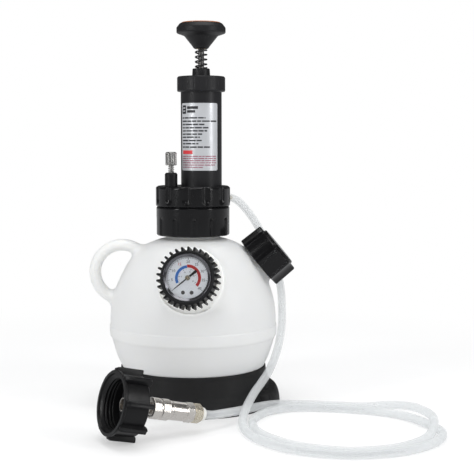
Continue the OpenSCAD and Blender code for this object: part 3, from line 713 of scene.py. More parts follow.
MATERIALS = {
    "gloss": surface(
        "gloss_black_plastic", (0.0052, 0.0052, 0.0058), rough=0.16, tone=0.2,
        grain=(1500, 0.005), wave=(75, 0.035), rough_var=0.045, wear=0.3,
        worn=(0.022, 0.022, 0.024), dust=0.012, coat=0.06, scratch=0.25, spec=0.27),
    "satin": surface(
        "satin_black_plastic", (0.0062, 0.0062, 0.0068), rough=0.36, tone=0.18,
        grain=(1900, 0.016), wave=(60, 0.04), wear=0.4, worn=(0.032, 0.032, 0.034), dust=0.02,
        scratch=0.3, spec=0.25),
    "barrel": surface(
        "barrel_black_plastic", (0.0135, 0.0135, 0.0150), rough=0.42, tone=0.16,
        grain=(2300, 0.014), wave=(50, 0.04), rough_var=0.06, wear=0.4,
        worn=(0.045, 0.045, 0.048), dust=0.02, scratch=0.3, spec=0.27),
    "base": surface(
        "base_black_plastic", (0.0100, 0.0100, 0.0105), rough=0.56, tone=0.18,
        grain=(1300, 0.045), wave=(45, 0.06), rough_var=0.08, wear=0.45,
        worn=(0.042, 0.042, 0.044), dust=0.03, scratch=0.4, spec=0.27),
    "rubber": surface(
        "boot_rubber", (0.0078, 0.0080, 0.0092), rough=0.48, tone=0.2, grain=(1700, 0.03),
        wave=(160, 0.03), rough_var=0.09, wear=0.5, worn=(0.034, 0.034, 0.036), dust=0.03,
        scratch=0.1, spec=0.24),
    "seal": surface(
        "seal_rubber", (0.014, 0.014, 0.015), rough=0.6, tone=0.22, grain=(2100, 0.03),
        wave=(200, 0.03), rough_var=0.08, wear=0.3, scratch=0.1, spec=0.35),
    "knob": surface(
        "knob_black_plastic", (0.0105, 0.0105, 0.0115), rough=0.46, tone=0.2,
        grain=(1700, 0.012), wave=(90, 0.05), wear=0.5, worn=(0.040, 0.039, 0.038), dust=0.02,
        scratch=0.25, spec=0.28),
    "insert": surface(
        "insert_orange_plastic", (0.42, 0.13, 0.028), rough=0.30, tone=0.12, tone_scale=60,
        grain=(1300, 0.02), wave=(70, 0.05), rough_var=0.08, worn=(0.8, 0.38, 0.12), dust=0.06,
        coat=0.35, scratch=0.35),
    "tank": tank_plastic(),
    "hose": hose_plastic(),
    "lens": lens_plastic(),
    "label": surface(
        "label_film", (0.60, 0.615, 0.64), rough=0.34, metal=0.35, tone=0.05, tone_scale=30,
        grain=(2200, 0.006), wave=(60, 0.03), rough_var=0.06, wear=0.0, scratch=0.2),
    "ink": surface("label_ink_dark", (0.018, 0.018, 0.022), tone=0.25, **LABEL_INK),
    "ink_red": surface("label_ink_red", (0.62, 0.035, 0.045), tone=0.18, **LABEL_INK),
    "ink_pink": surface("label_ink_pink", (0.30, 0.085, 0.135), tone=0.2, **LABEL_INK),
    "nickel": surface(
        "nickel_plate", (0.74, 0.705, 0.665), rough=0.17, metal=0.95, tone=0.04, tone_scale=140,
        grain=(1600, 0.0016), wave=(160, 0.006), rough_var=0.04, wear=0.3,
        worn=(0.84, 0.81, 0.75), lathed=(tuple(COUPLER_AXIS), 5000.0, 0.0016), scratch=0.2),
    "nickel_up": surface(
        "nickel_plate_upright", (0.42, 0.415, 0.405), rough=0.20, metal=1.0, tone=0.05,
        tone_scale=160, grain=(1600, 0.0016), wave=(160, 0.006), rough_var=0.05, wear=0.3,
        worn=(0.82, 0.80, 0.76), lathed=(UP, 5000.0, 0.0016), scratch=0.2),
    "brassy": surface(
        "nickel_over_brass", (0.68, 0.62, 0.50), rough=0.24, metal=0.88, tone=0.06,
        tone_scale=140, grain=(1600, 0.002), wave=(160, 0.008), rough_var=0.05, wear=0.5,
        worn=(0.80, 0.66, 0.36), lathed=(tuple(COUPLER_AXIS), 5000.0, 0.002), scratch=0.25),
    "brass": surface(
        "turned_brass", (0.66, 0.47, 0.19), rough=0.27, metal=1.0, tone=0.09, tone_scale=150,
        grain=(2200, 0.008), wave=(200, 0.012), wear=0.4, worn=(0.86, 0.70, 0.36),
        lathed=(UP, 6000.0, 0.006), scratch=0.4, tint=(0.62, 0.42, 0.17)),
    "steel": surface(
        "bright_steel", (0.60, 0.60, 0.61), rough=0.24, metal=1.0, tone=0.06, tone_scale=150,
        grain=(2600, 0.005), wave=(220, 0.01), rough_var=0.06, wear=0.3,
        lathed=(UP, 6000.0, 0.005), scratch=0.4),
    "blacksteel": surface(
        "black_oxide_steel", (0.045, 0.045, 0.048), rough=0.32, metal=0.85, tone=0.16,
        tone_scale=110, grain=(2000, 0.01), wave=(150, 0.012), rough_var=0.08, wear=0.6,
        worn=(0.33, 0.32, 0.31), lathed=(UP, 5000.0, 0.006), scratch=0.4),
    "darksteel": surface(
        "darkened_screw_steel", (0.16, 0.155, 0.15), rough=0.34, metal=0.9, tone=0.12,
        tone_scale=220, grain=(2400, 0.006), wave=(300, 0.01), rough_var=0.08, wear=0.6,
        worn=(0.45, 0.44, 0.42), lathed=(tuple(GAUGE_NORMAL), 9000.0, 0.004), scratch=0.4),
    "chrome": surface(
        "bezel_dark_bright", (0.17, 0.17, 0.185), rough=0.13, metal=0.9, tone=0.04,
        tone_scale=160, grain=(2600, 0.003), wave=(160, 0.008), rough_var=0.04, wear=0.2,
        lathed=(tuple(GAUGE_NORMAL), 9000.0, 0.003), scratch=0.3),
    "white": surface(
        "white_acetal", (0.78, 0.775, 0.74), rough=0.36, tone=0.03, tone_scale=60,
        grain=(1500, 0.012), rough_var=0.06, wear=0.1, scatter=(0.3, (1, 1, 1), 0.0015)),
    "fibre": surface(
        "red_fibre", (0.22, 0.035, 0.02), rough=0.72, tone=0.22, tone_scale=300,
        grain=(2600, 0.03), wave=(300, 0.02), rough_var=0.08, wear=0.2, scratch=0.1),
    "dial": dial_enamel(),
    "dial_blue": surface("dial_print_blue", (0.045, 0.20, 0.62), tone=0.12, **DIAL_INK),
    "dial_red": surface("dial_print_red", (0.62, 0.030, 0.028), tone=0.12, **DIAL_INK),
    "dial_ink": surface("dial_print_dark", (0.085, 0.085, 0.11), tone=0.2, **DIAL_INK),
    "pointer": surface(
        "pointer_black_enamel", (0.010, 0.010, 0.012), rough=0.3, tone=0.2,
        grain=(2600, 0.004), wave=(180, 0.006), wear=0.3, scratch=0.2),
}

# CAD pieces that keep their own mesh
CAD_FINISH = {
    "seal": ["neck_seal", "check_disc", "outlet_seal", "piston_cup", "filler_gasket",
             "plug_oring", "adapter_gasket"],
    "steel": ["head_clip", "piston_washer", "piston_nut", "lock_balls"],
    "brass": ["rod_bush", "knob_bush", "gauge_movement", "bourdon_tube", "gauge_stem",
              "gauge_insert"],
    "brassy": ["outlet_barb"],
    "white": ["check_cage", "dip_tube", "piston"],
    "nickel_up": ["relief_stem"],
    "blacksteel": ["pump_rod"],
    "satin": ["gauge_case"],
    "fibre": ["gauge_seal"],
}
for finish, names in CAD_FINISH.items():
    for name in names:
        slots = NODES[name].material_slots
        for slot in slots:
            slot.material = MATERIALS[finish]
        if not len(slots):
            NODES[name].data.materials.append(MATERIALS[finish])


# ---------------------------------------------------------------- tank: a blended, hollow shell
# (r, z) stations of the wall below and above the belt
TANK_SIDE = [(34, 6), (48, 11), (60, 21.5), (67.2, 31.5), (71.6, 38.3), (76.4, 49), (80.3, 62),
             (81.75, 66.4)]
TANK_BELT = [(82.1, 67.0), (82.75, 67.9), (83.2, 69.3), (83.42, 71.5), (83.52, 74),
             (83.52, 77.9), (83.42, 78.5), (83.05, 79.0), (82.8, 79.3)]
TANK_TOP = [(82.75, 79.75), (82.5, 89), (81.2, 101), (77.7, 114), (72, 127), (65, 140),
            (56.7, 150), (46.8, 158), (35, 163), (28, 164.6)]
TANK_CENTRE = np.array((0, 85))  # the wall is thickened towards this (r, z)
WALL = 3.0
TANK_SIDE_CURVE = spline(TANK_SIDE, 5)

LOOP_X, LOOP_Z, LOOP_R = -70.9, 130.3, 27.2  # centre and radius of the carrying loop
LOOP_START, LOOP_END = 38, 264  # degrees from +x towards +z
LOOP_THICK, LOOP_WIDE = 5.8, 8.0  # half sizes of its oval section


def outline_field(outline, r_max, z_min, z_max):
    """Signed distance to a closed (r, z) outline, from a grid; a function of r and z."""
    cell = 0.5
    outline = np.asarray(outline, float)
    r_rows, z_rows = np.arange(0, r_max + cell, cell), np.arange(z_min, z_max + cell, cell)
    r_grid, z_grid = np.meshgrid(r_rows, z_rows, indexing="ij")
    best = np.full(r_grid.shape, 1e9)
    inside = np.zeros(r_grid.shape, bool)
    for a, b in zip(outline, np.roll(outline, -1, axis=0)):
        d = b - a
        if a[1] != b[1]:
            inside ^= (((a[1] > z_grid) != (b[1] > z_grid))
                       & (r_grid < d[0] * (z_grid - a[1]) / d[1] + a[0]))
        if a[0] < 1e-6 and b[0] < 1e-6:  # the axis is no wall
            continue
        t = ((r_grid - a[0]) * d[0] + (z_grid - a[1]) * d[1]) / max(d @ d, 1e-12)
        t = np.clip(t, 0, 1)
        best = np.minimum(best, (r_grid - a[0] - t * d[0]) ** 2 + (z_grid - a[1] - t * d[1]) ** 2)
    grid = np.where(inside, -1, 1) * np.sqrt(best)

    def sample(r, z):
        x = np.clip(r / cell, 0, len(r_rows) - 1.001)
        y = np.clip((z - z_min) / cell, 0, len(z_rows) - 1.001)
        i, j = x.astype(int), y.astype(int)
        u, v = x - i, y - j
        return (grid[i, j] * (1 - u) * (1 - v) + grid[i + 1, j] * u * (1 - v)
                + grid[i, j + 1] * (1 - u) * v + grid[i + 1, j + 1] * u * v)

    return sample


def drum_field(points, radius, z0, z1):
    across = np.hypot(points[:, 0], points[:, 1]) - radius
    return np.maximum(across, np.abs(points[:, 2] - (z0 + z1) / 2) - (z1 - z0) / 2)


def loop_field(points):
    """The carrying loop: an oval section on an arc, with its ends buried in the wall."""
    x, y, z = points[:, 0] - LOOP_X, points[:, 1], points[:, 2] - LOOP_Z
    bearing = np.degrees(np.arctan2(z, x)) % 360
    to_start = np.abs((bearing - LOOP_START + 180) % 360 - 180)
    to_end = np.abs((bearing - LOOP_END + 180) % 360 - 180)
    closest_end = np.where(to_start < to_end, LOOP_START, LOOP_END)
    on_arc = (bearing >= LOOP_START) & (bearing <= LOOP_END)
    arc = np.radians(np.where(on_arc, bearing, closest_end))
    dx, dz = x - LOOP_R * np.cos(arc), z - LOOP_R * np.sin(arc)
    radial = dx * np.cos(arc) + dz * np.sin(arc)
    along = -dx * np.sin(arc) + dz * np.cos(arc)
    k = np.sqrt((radial / LOOP_THICK) ** 2 + (y / LOOP_WIDE) ** 2 + (along / LOOP_THICK) ** 2)
    length = np.sqrt(radial ** 2 + y ** 2 + along ** 2)
    return (k - 1) * np.where(k > 1e-6, length / np.maximum(k, 1e-6), LOOP_THICK)


def tank_field():
    """Signed distance to the tank's wall, as a function of world points."""
    def inward(p):
        v = np.array(p) - TANK_CENTRE
        return TANK_CENTRE + v * (1 - WALL / np.linalg.norm(v))

    def low_inward(p):
        r, z = inward(p)
        return r, max(z, 9)

    top = spline(TANK_TOP, 5)
    outer = [(0, 6), *TANK_SIDE_CURVE, *TANK_BELT, *top, (26, 165), (0, 165)]
    inner = [(0, 9), *map(low_inward, TANK_SIDE_CURVE), *(inward(p) for p in top if p[1] < 164),
             (22, 161.4), (0, 161.4)]
    neck = [(0, 148), (26, 148)]
    for z in (169, 174, 179):
        neck += [(26, z - 0.1), (27.3, z + 0.9), (27.3, z + 1.5), (26, z + 2.5)]
    neck += [(26, 185.5), (25.5, 186), (0, 186)]
    filler = [(0, 60), (19.5, 60)]
    for z in (87, 91, 95):
        filler += [(19.5, z + 0.1), (20.9, z + 0.8), (20.9, z + 1.3), (19.5, z + 2)]
    filler += [(19.5, 99), (19, 99.5), (0, 99.5)]
    outer_field, inner_field, neck_field = (
        outline_field(outline, 96, 0, 192) for outline in (outer, inner, neck))
    filler_field = outline_field(filler, 150, -60, 130)

    def field(points):
        r, z = np.hypot(points[:, 0], points[:, 1]), points[:, 2]
        in_fill, in_gauge = local(FILL, points), local(GAUGE, points)
        body = outer_field(r, z)
        d = smooth_min(body, neck_field(r, z), 2.5)
        fill_r = np.hypot(in_fill[:, 0], in_fill[:, 1])
        d = smooth_min(d, filler_field(fill_r, in_fill[:, 2]), 5.0)
        d = smooth_min(d, drum_field(in_gauge, 31.2, -58, -12), 6.0)
        d = smooth_min(d, loop_field(points), 7.0)
        # cavity, then the gauge seat's wall and boss
        d = smooth_max(d, -inner_field(r, z), 0.6)
        d = np.minimum(d, smooth_max(body, drum_field(in_gauge, 34, -25, -5), 0.6))
        d = smooth_min(d, drum_field(in_gauge, 13, -33, -22), 1.0)
        d = smooth_max(d, -drum_field(in_gauge, 31.6, -21, 26), 1.6)
        d = np.maximum(d, -drum_field(in_gauge, 9, -29, -15))
        d = np.maximum(d, -drum_field(in_gauge, 3, -40, -15))
        # bores of the pump neck and the filler neck
        d = smooth_max(d, -np.maximum(r - 20, 150 - z), 0.8)
        return smooth_max(d, -drum_field(in_fill, 16.5, 60, 120), 0.8)

    return field


def make_tank():
    """Returns the shell as a shape, with its vertex normals."""
    import openvdb as vdb
    field = tank_field()
    step = 1.3
    low, high = np.array([-108.0, -88.0, 1.0]), np.array([94.0, 88.0, 190.0])
    counts = np.ceil((high - low) / step).astype(int)
    xs, ys, zs = [low[i] + step * np.arange(counts[i]) for i in range(3)]
    # finer rows across the belt
    belt_rows = np.arange(64.0, 83.0, 0.45)
    zs = np.concatenate([zs[zs < 63.5], belt_rows, zs[zs > 83.3]])
    values = np.empty((len(xs), len(ys), len(zs)), np.float32)
    for i in range(0, len(xs), 16):
        x, y, z = np.meshgrid(xs[i:i + 16], ys, zs, indexing="ij")
        values[i:i + 16] = field(np.stack([x.ravel(), y.ravel(), z.ravel()], 1)).reshape(x.shape)
    grid = vdb.FloatGrid()
    grid.copyFromArray(values, tolerance=0.0)
    grid.transform = vdb.createLinearTransform(1.0)
    cells, quads = grid.convertToQuads(isovalue=0.0)
    points = cells.astype(float) * step + low
    points[:, 2] = np.interp(cells[:, 2].astype(float), np.arange(len(zs)), zs)
    nudge = np.eye(3) * 0.3

    def gradient(p):
        return np.stack([(field(p + nudge[k]) - field(p - nudge[k])) / 0.6 for k in range(3)], 1)

    # pull the points onto the surface, never far from where they began
    start = points.copy()
    for _ in range(3):
        slope = gradient(points)
        steep = np.maximum((slope * slope).sum(1), 0.2)
        points = points - np.clip(field(points), -step, step)[:, None] * slope / steep[:, None]
        offset = points - start
        length = np.maximum(np.linalg.norm(offset, axis=1), 1e-9)
        points = start + offset * np.minimum(1, 0.75 * step / length)[:, None]
    normals = gradient(points)
    normals /= np.maximum(np.linalg.norm(normals, axis=1), 1e-6)[:, None]
    return (points, quads), normals.tolist()


tank_shape, tank_normals = make_tank()
piece("tank_shell", tank_shape, "tank", "tank_plastic", "tank", normals=tank_normals)


# ---------------------------------------------------------------- foot cup with two side lobes
def make_foot_cup():
    # the inside follows the tank's wall with a small clearance
    seat = []
    for p in TANK_SIDE_CURVE[::-1]:
        if p[1] < 36.9:
            v = p - TANK_CENTRE
            seat.append((*(p + v * 0.12 / np.linalg.norm(v)), 0))
    profile = soften(
        [(82.5, 0, 0.5), (82.5, 3.5, 1.5), (80.4, 7), (77.6, 13), (76, 18), (74.4, 26),
         (72.9, 33.5), (72.6, 36.6), (72.1, 37.6, 0.3), (71.5, 37.75, 0.2), *seat, (0, 5.88),
         (0, 0), (12, 0, 0.5), (12, 3.4, 0.5), (30, 3.4, 0), (42, 5.6, 0), (52, 9.6, 0),
         (63.5, 20.2, 0), (69.4, 30.6, 0.6), (71.6, 24, 0.6), (73.6, 13, 0), (78.2, 4.2, 0),
         (79.6, 0, 0.5)], rad=3.0, seg=6, hold=0.3)

    def outside(r, z):
        return r > 71.9 and not (r < 79.7 and z < 33 and r < 83.0 - z * 0.32 - 2.2)

    def lobes(r, z, theta):
        if not outside(r[0], z[0]) or z[0] > 19.5:
            return r, z
        off = np.abs(near(theta, [0, 180]))
        ease = np.clip((radians(33.5) - off) / radians(7.0), 0, 1)
        ease = np.sqrt(np.maximum(1 - (1 - ease) ** 2, 0))
        top = 17.5 * np.maximum(ease, 1e-3)
        dome = np.sqrt(np.maximum(1 - (np.minimum(z, top) / top) ** 2, 0))
        lobe = np.where(z < top, 80 + 7 * ease * dome - (1 - ease) * 8, 60.0)
        return smooth_max(r, lobe, 0.9), z

    return lathe(rows(profile, 0.9, outside), angles(1.2, [0, 180], np.linspace(-36, 36, 73)),
                 lobes)


piece("foot_cup", make_foot_cup(), "base", "foot_rubber", "base", sharp=38)

# ---------------------------------------------------------------- collar nut and pump head
NUT_FLUTES = [-86 + 30 * i for i in range(12)]
HEAD_FLUTES = [-97.6 + 30 * i for i in range(12)]
FLUTE_OFFSETS = mirrored([1, 2, 3, 4, 4.8, 5.5, 6.0, 6.4, 6.8, 7.3, 8, 9, 10])


def make_nut():
    profile = soften([(27.6, 167.6, 0.4), (35.3, 167.6, 0.8), (36.4, 168.9, 0.8),
                      (36.4, 194.9, 0.8), (35.7, 195.95), (24.2, 196, 0.3), (24.2, 191.4, 0.2),
                      (27.6, 191.4, 0.3)], rad=0.5, seg=5)
    return lathe(rows(profile, 0.8, lambda r, z: r > 36.2),
                 angles(2.0, NUT_FLUTES, FLUTE_OFFSETS),
                 flutes(inner=33, past_end=lambda z: z - 182.4, distance=39.4, radius=4.6,
                        centres=NUT_FLUTES, blend=0.32))


def make_head():
    profile = soften([(0, 196.22), (35.4, 196.22, 0.5), (36.9, 197.3), (36.9, 215.0, 1.6),
                      (34.6, 216.6, 1.4), (0, 216.6)], rad=0.6, seg=6)
    return lathe(rows(profile, 0.7, lambda r, z: r > 36.2 and z > 196.9),
                 angles(2.0, HEAD_FLUTES, FLUTE_OFFSETS),
                 flutes(inner=33.4, past_end=lambda z: 203.4 - z, distance=41.4, radius=6.2,
                        centres=HEAD_FLUTES, blend=0.38))


piece("collar_nut", make_nut(), "gloss", "gloss_black", "tank_nut")
head = piece("pump_head_body", make_head(), "gloss", "gloss_black", "pump_head")
cut(head, (cylinder(23.9, 188, 196.5), WORLD), operation="UNION")
cut(head,
    (lathe([(22.6, 189.9), (30, 189.9), (30, 191.3), (22.6, 191.3)], 96), WORLD),
    (cylinder(19.5, 187, 195), WORLD),
    (cylinder(20.27, 209, 219), PUMP),
    (cylinder(5.2, 194.5, 205, 48), PUMP),
    (cylinder(2.2, 204, 210, 32), PUMP),
    (cylinder(3.02, 194.5, 200.5, 32), DIP_TUBE),
    (cylinder(3.62, 200, 220, 40), RELIEF),
    (cylinder(4.02, 27, 39, 40), OUTLET),
    (cylinder(6.22, 35, 39, 48), OUTLET),
    (cylinder(8.0, 36.3, 45, 48), OUTLET))

# ---------------------------------------------------------------- barrel and its sticker
BARREL_R = 20.25
BARREL = [(17.5, 209.02, 0.3), (BARREL_R, 209.02, 0.3), (BARREL_R, 309.2, 0.8),
          (22.4, 310.1, 0.5), (22.4, 311.99, 0.25), (17.5, 311.99, 0.3)]
piece("pump_barrel", turned(BARREL, 128), "barrel", "gloss_black", "barrel", at=PUMP)

LABEL_R = BARREL_R + 0.02
LABEL_TOP = 297.7
PRINT_LEFT = -150.5  # azimuth where most rows of print start
piece("sticker_film",
      patch(LABEL_R, LABEL_R + 0.18, -155, -37.9, 232.0, LABEL_TOP, corner=1.7, step=3.0),
      "label", "label_film", "barrel_label", at=PUMP, sharp=60)

random = np.random.RandomState(7)


def printed(name, bars, material, proud=0.215):
    """Raised print from bars (azimuth from, to, depth below the label's top from, to)."""
    shapes = [patch(LABEL_R + 0.12, LABEL_R + proud, a0, a1, LABEL_TOP - low, LABEL_TOP - high,
                    corner=min(0.3, (low - high) * 0.4), step=6.0) for a0, a1, high, low in bars]
    piece(name, merge(*shapes), material, "label_film", at=PUMP, sharp=60)


def words(end, depth, height, shortest=2.6, longest=8.5, gap=0.75):
    """A row of plain dashes of uneven length, up to azimuth `end`."""
    bars, start = [], PRINT_LEFT
    while start < end - 2:
        width = np.degrees(random.uniform(shortest, longest) / LABEL_R)
        stop = min(start + width, end)
        if end - stop < 3:
            stop = end
        half = height * random.uniform(0.86, 1.0) / 2
        bars.append((start, stop, depth - half, depth + half))
        start = stop + np.degrees(gap / LABEL_R)
    return bars


dark_bars = [(PRINT_LEFT, -134.5, 2.2, 10.4), (-130.5, -97.0, 3.1, 5.8),
             (-130.5, -105.0, 6.9, 9.4)]
# rows of print: (end azimuth, depth)
for end, depth in [(-76.4, 14.4), (-42.5, 17.6), (-79.5, 20.8), (-68.0, 24.0), (-72.0, 27.0),
                   (-86.0, 30.2), (-92.0, 33.2), (-87.0, 36.4), (-96.0, 39.5), (-64.0, 42.8)]:
    dark_bars += words(end, depth, 1.5)
printed("sticker_print_dark", dark_bars, "ink")
printed("sticker_print_red", [(-149.5, -113.0, 46.0, 49.6)], "ink_red")
pink_bars = []
for end, depth in [(-44.0, 51.8), (-43.0, 53.9), (-45.0, 56.0), (-43.5, 58.1), (-44.5, 60.3),
                   (-84.0, 62.5)]:
    pink_bars += words(end, depth, 1.0, shortest=2.2, longest=6.5, gap=0.6)
printed("sticker_print_pink", pink_bars, "ink_pink")
# two pale stripes on the dark panel in the corner
printed("sticker_emblem_stripes", [(-147.5, -137.5, 4.2, 5.2), (-147.5, -137.5, 7.2, 8.2)],
        "label", proud=0.25)


# ---------------------------------------------------------------- barrel cap, bumper, hand knob
def make_cap():
    profile = soften(
        [(3.3, 304.2, 0.2), (17.35, 304.2), (17.4, 312.05, 0.1), (22.45, 312.05, 0.1),
         (22.45, 309.8, 0.1), (23.2, 309.4, 0.2), (23.75, 310.2, 0.3), (23.75, 323.0, 0.6),
         (22.8, 324.2, 0.8), (8.95, 324.2, 0.9), (8.55, 331.4, 0.0), (8.2, 332.0),
         (5.62, 332.0, 0.2), (5.62, 316.0, 0.2), (3.3, 316.0, 0.2)])
    grooves = [15 * i for i in range(24)]

    def grip(r, z, theta):
        if r[0] < 23.0:
            return r, z
        fade = smooth_step(z, 311.9, 312.8) * (1 - smooth_step(z, 321.6, 322.6))
        groove = scallop(theta, 24.95, 1.35, grooves)
        return r - (r - smooth_min(r, groove, 0.18)) * fade, z

    return lathe(rows(profile, 0.7, lambda r, z: r > 23.5 and z > 310.5),
                 angles(2.5, grooves, mirrored([0.8, 1.5, 2.2, 2.8, 3.4])), grip)


piece("barrel_cap", make_cap(), "barrel", "gloss_black", "pump_cap", at=PUMP)
piece("bumper_coil", coil(radius=5.45, wire=0.8, turns=4.3, bottom=332.12, top=351.08, sides=14,
                          per_turn=36),
      "blacksteel", "black_steel", "bumper_spring", at=PUMP)

KNOB = [(5.02, 351.2, 0.3), (6.2, 351.2, 0.5), (7.6, 352.2, 0.8), (8.6, 353.8, 1.6),
        (16.3, 363.4, 1.5), (17.4, 364.2, 0.8), (23.2, 366.2), (24.0, 366.8, 0.5),
        (24.2, 367.6, 0.4), (24.2, 371.4, 0.5), (23.9, 372.2, 0.4), (21.2, 375.6, 0.5),
        (20.6, 376.0, 0.3), (19.62, 376.0, 0.15), (19.62, 373, 0.3), (0, 373), (0, 366.02),
        (5.02, 366.02, 0.2)]
KNOB_DISC = [(0, 373.02), (19.55, 373.02, 0.2), (19.55, 376.45), (19.1, 376.9), (16.4, 377.0, 0),
             (16.0, 376.75, 0.2), (15.2, 376.75, 0.2), (14.8, 377.08, 0), (7, 377.2, 0),
             (0, 377.28)]
piece("hand_knob", turned(KNOB, 144, rad=0.6, seg=5), "knob", "gloss_black", "knob", at=PUMP,
      body="plunger")
piece("knob_disc", turned(KNOB_DISC, 128, rad=0.3), "insert", "insert_orange", "knob_insert",
      at=PUMP, body="plunger")

# ---------------------------------------------------------------- relief valve and springs
RELIEF_BODY = [(1.62, 216.62, 0.1), (6.2, 216.62, 0.2), (6.2, 228.4, 1.0), (5.1, 230, 0.6),
               (1.62, 230)]
RELIEF_TAIL = [(1.62, 208, 0.1), (3.6, 208, 0.3), (3.6, 216.9, 0), (1.62, 216.9, 0)]
piece("relief_turret",
      merge(turned(RELIEF_BODY, 72, rad=0.3, seg=5), turned(RELIEF_TAIL, 48, hold=0)),
      "satin", "gloss_black", "relief_body", at=RELIEF)
spring("relief_coil", "nickel_up", "nickel", "relief_spring", RELIEF, "relief_press", keep=0.72,
       bottom=230.02, top=237.18, radius=2.6, wire=0.38, turns=4.4, sides=10, per_turn=28)
spring("check_coil", "steel", "steel", "check_spring", PUMP, "check_valve", keep=0.69,
       bottom=198.05, top=203.35, radius=2.6, wire=0.3, turns=4, sides=10, per_turn=28)
spring("sleeve_coil", "steel", "steel", "sleeve_spring", COUPLER, "sleeve_pull", keep=0.55,
       bottom=-15.95, top=-9.05, radius=7.8, wire=0.35, turns=4, sides=10, per_turn=36)


def make_relief_knob():
    profile = soften([(1.52, 237.2, 0.1), (4.9, 237.2, 0.25), (5.5, 237.8), (5.5, 249.0, 0.5),
                      (4.9, 249.8, 0.4), (4.0, 250.2), (0, 250.2), (0, 246.02),
                      (1.52, 246.02, 0.1)], rad=0.3, hold=0.15)

    def grooves(r, z, theta):
        if r[0] < 4.75:
            return r, z
        wave = np.cos(theta * 14) * 0.5 + 0.5
        return r - 0.46 * wave ** 2.6 * smooth_step(r, 4.75, 5.35), z

    return lathe(rows(profile, 0.5, lambda r, z: r > 4.9), 160, grooves)


piece("relief_pull", make_relief_knob(), "nickel_up", "nickel", "relief_knob", at=RELIEF,
      body="relief_plunger", sharp=40)


# ---------------------------------------------------------------- filler cap
def make_filler():
    hollows = [-90 + 12.5 + 45 * i for i in range(8)]
    profile = soften([(22.02, 85.1, 0.3), (27.2, 85.1, 0.7), (28.0, 85.95), (27.4, 108.6, 0.7),
                      (26.4, 109.6, 0.6), (20.9, 109.6, 0.3), (20.75, 111.1, 0.4),
                      (20.0, 111.8, 0.4), (0, 111.8), (0, 101.72), (22.02, 101.72, 0.3)],
                     rad=0.5, seg=5)

    def grip(r, z, theta):
        if r[0] < 24.0:
            return r, z
        return smooth_min(r, scallop(theta, 60.0, 34.4, hollows) - (28.0 - r), 0.18), z

    return lathe(rows(profile, 2.0, lambda r, z: r > 26.6),
                 angles(1.6, [c + 22.5 for c in hollows],
                        mirrored([0.5, 0.9, 1.3, 1.7, 2.1, 2.6, 3.2])), grip)


piece("filler_lid", make_filler(), "gloss", "gloss_black", "filler_cap", at=FILL,
      body="filler_cap_body")

# ---------------------------------------------------------------- gauge
BOOT_R = 25.2
TOOTH_PITCH = 12
# one tooth of the boot: (offset across, height)
TOOTH = [(-1.6, 0.0), (-1.32, 0.06), (-1.14, 0.3), (-1.08, 0.8), (-1.06, 2.8), (-0.94, 3.35),
         (-0.62, 3.74), (-0.22, 3.9), (0.22, 3.9), (0.62, 3.74), (0.94, 3.35), (1.06, 2.8),
         (1.08, 0.8), (1.14, 0.3), (1.32, 0.06), (1.6, 0.0)]
# (r, z) rings at the back, then toothed rings (z, share of tooth height), then (r, z) rings
# of the front lip and the bore
BOOT_BACK = [(11, -18.02), (11, -18.9), (11.1, -19), (23.4, -19), (24.4, -18.6), (25.0, -17.9)]
BOOT_TEETH = [(-17.52, 0), (-17.5, 0.90), (-17.35, 0.96), (-17.0, 1), (-12, 1), (-6, 1), (0, 1),
              (1.9, 1), (2.25, 0.97), (2.45, 0.90), (2.5, 0.82), (2.53, 0), (3.4, 0)]
BOOT_LIP = [(25.1, 4.0), (24.8, 4.45), (24.3, 4.78), (23.7, 4.9), (23.2, 4.85), (22.9, 4.68),
            (22.76, 4.4), (22.75, 4.2), (22.75, 1.4), (22.72, 1.22), (22.3, 1.08), (22.02, 1.0),
            (22.02, 0.7), (22.02, -17.9), (21.8, -18.02)]


def toothed_ring(z, share):
    points = []
    for k in range(30):
        degrees = 90 + TOOTH_PITCH * k
        middle = radians(degrees)
        for y, height in TOOTH:
            x = sqrt(BOOT_R * BOOT_R - y * y) + share * height
            points.append((x * cos(middle) - y * sin(middle), x * sin(middle) + y * cos(middle), z))
        start = middle + asin(TOOTH[-1][0] / BOOT_R)
        end = radians(degrees + TOOTH_PITCH) + asin(TOOTH[0][0] / BOOT_R)
        for j in (1, 2):
            angle = start + (end - start) * j / 3
            points.append((BOOT_R * cos(angle), BOOT_R * sin(angle), z))
    return np.array(points)


def make_boot():
    full = toothed_ring(0, 1)
    theta = np.arctan2(full[:, 1], full[:, 0])

    def plain(stations):
        return [np.stack([r * np.cos(theta), r * np.sin(theta), np.full(len(theta), float(z))], 1)
                for r, z in stations]

    toothed = [toothed_ring(z, share) for z, share in BOOT_TEETH]
    return loft(plain(BOOT_BACK) + toothed + plain(BOOT_LIP), close=True)


BEZEL = [(20.6, 1.42, 0.1), (22.7, 1.42), (22.7, 3.8, 0.5), (22.15, 4.3, 0.5), (21.5, 4.3, 0.5),
         (19.3, 2.85), (19.3, 2.52, 0.05), (20.6, 2.52, 0.02)]
LENS = [(0, 1.5), (20.5, 1.5), (20.5, 2.45), (0, 2.45)]
DIAL = [(1.0, -0.6, 0.05), (21.1, -0.6), (21.1, 0), (1.0, 0, 0.05)]
piece("rubber_boot", make_boot(), "rubber", "boot_rubber", "gauge_boot", at=GAUGE, sharp=38)
piece("bezel_ring", turned(BEZEL, 144, rad=0.2, seg=5, hold=0.1), "chrome", "bright_ring",
      "gauge_bezel", at=GAUGE)
piece("gauge_window", turned(LENS, 128, rad=0.15, seg=3, hold=0.1), "lens", "lens", "gauge_lens",
      at=GAUGE)
piece("dial_plate", turned(DIAL, 128, rad=0.1, seg=3, hold=0.1), "dial", "dial_white",
      "gauge_dial", at=GAUGE)

SCALE_START, SCALE_END = 220.0, -40.0  # degrees
PRINT_BASE = -0.02  # print starts just inside the dial


def scale_angle(step, steps):
    return SCALE_START + (SCALE_END - SCALE_START) * step / steps


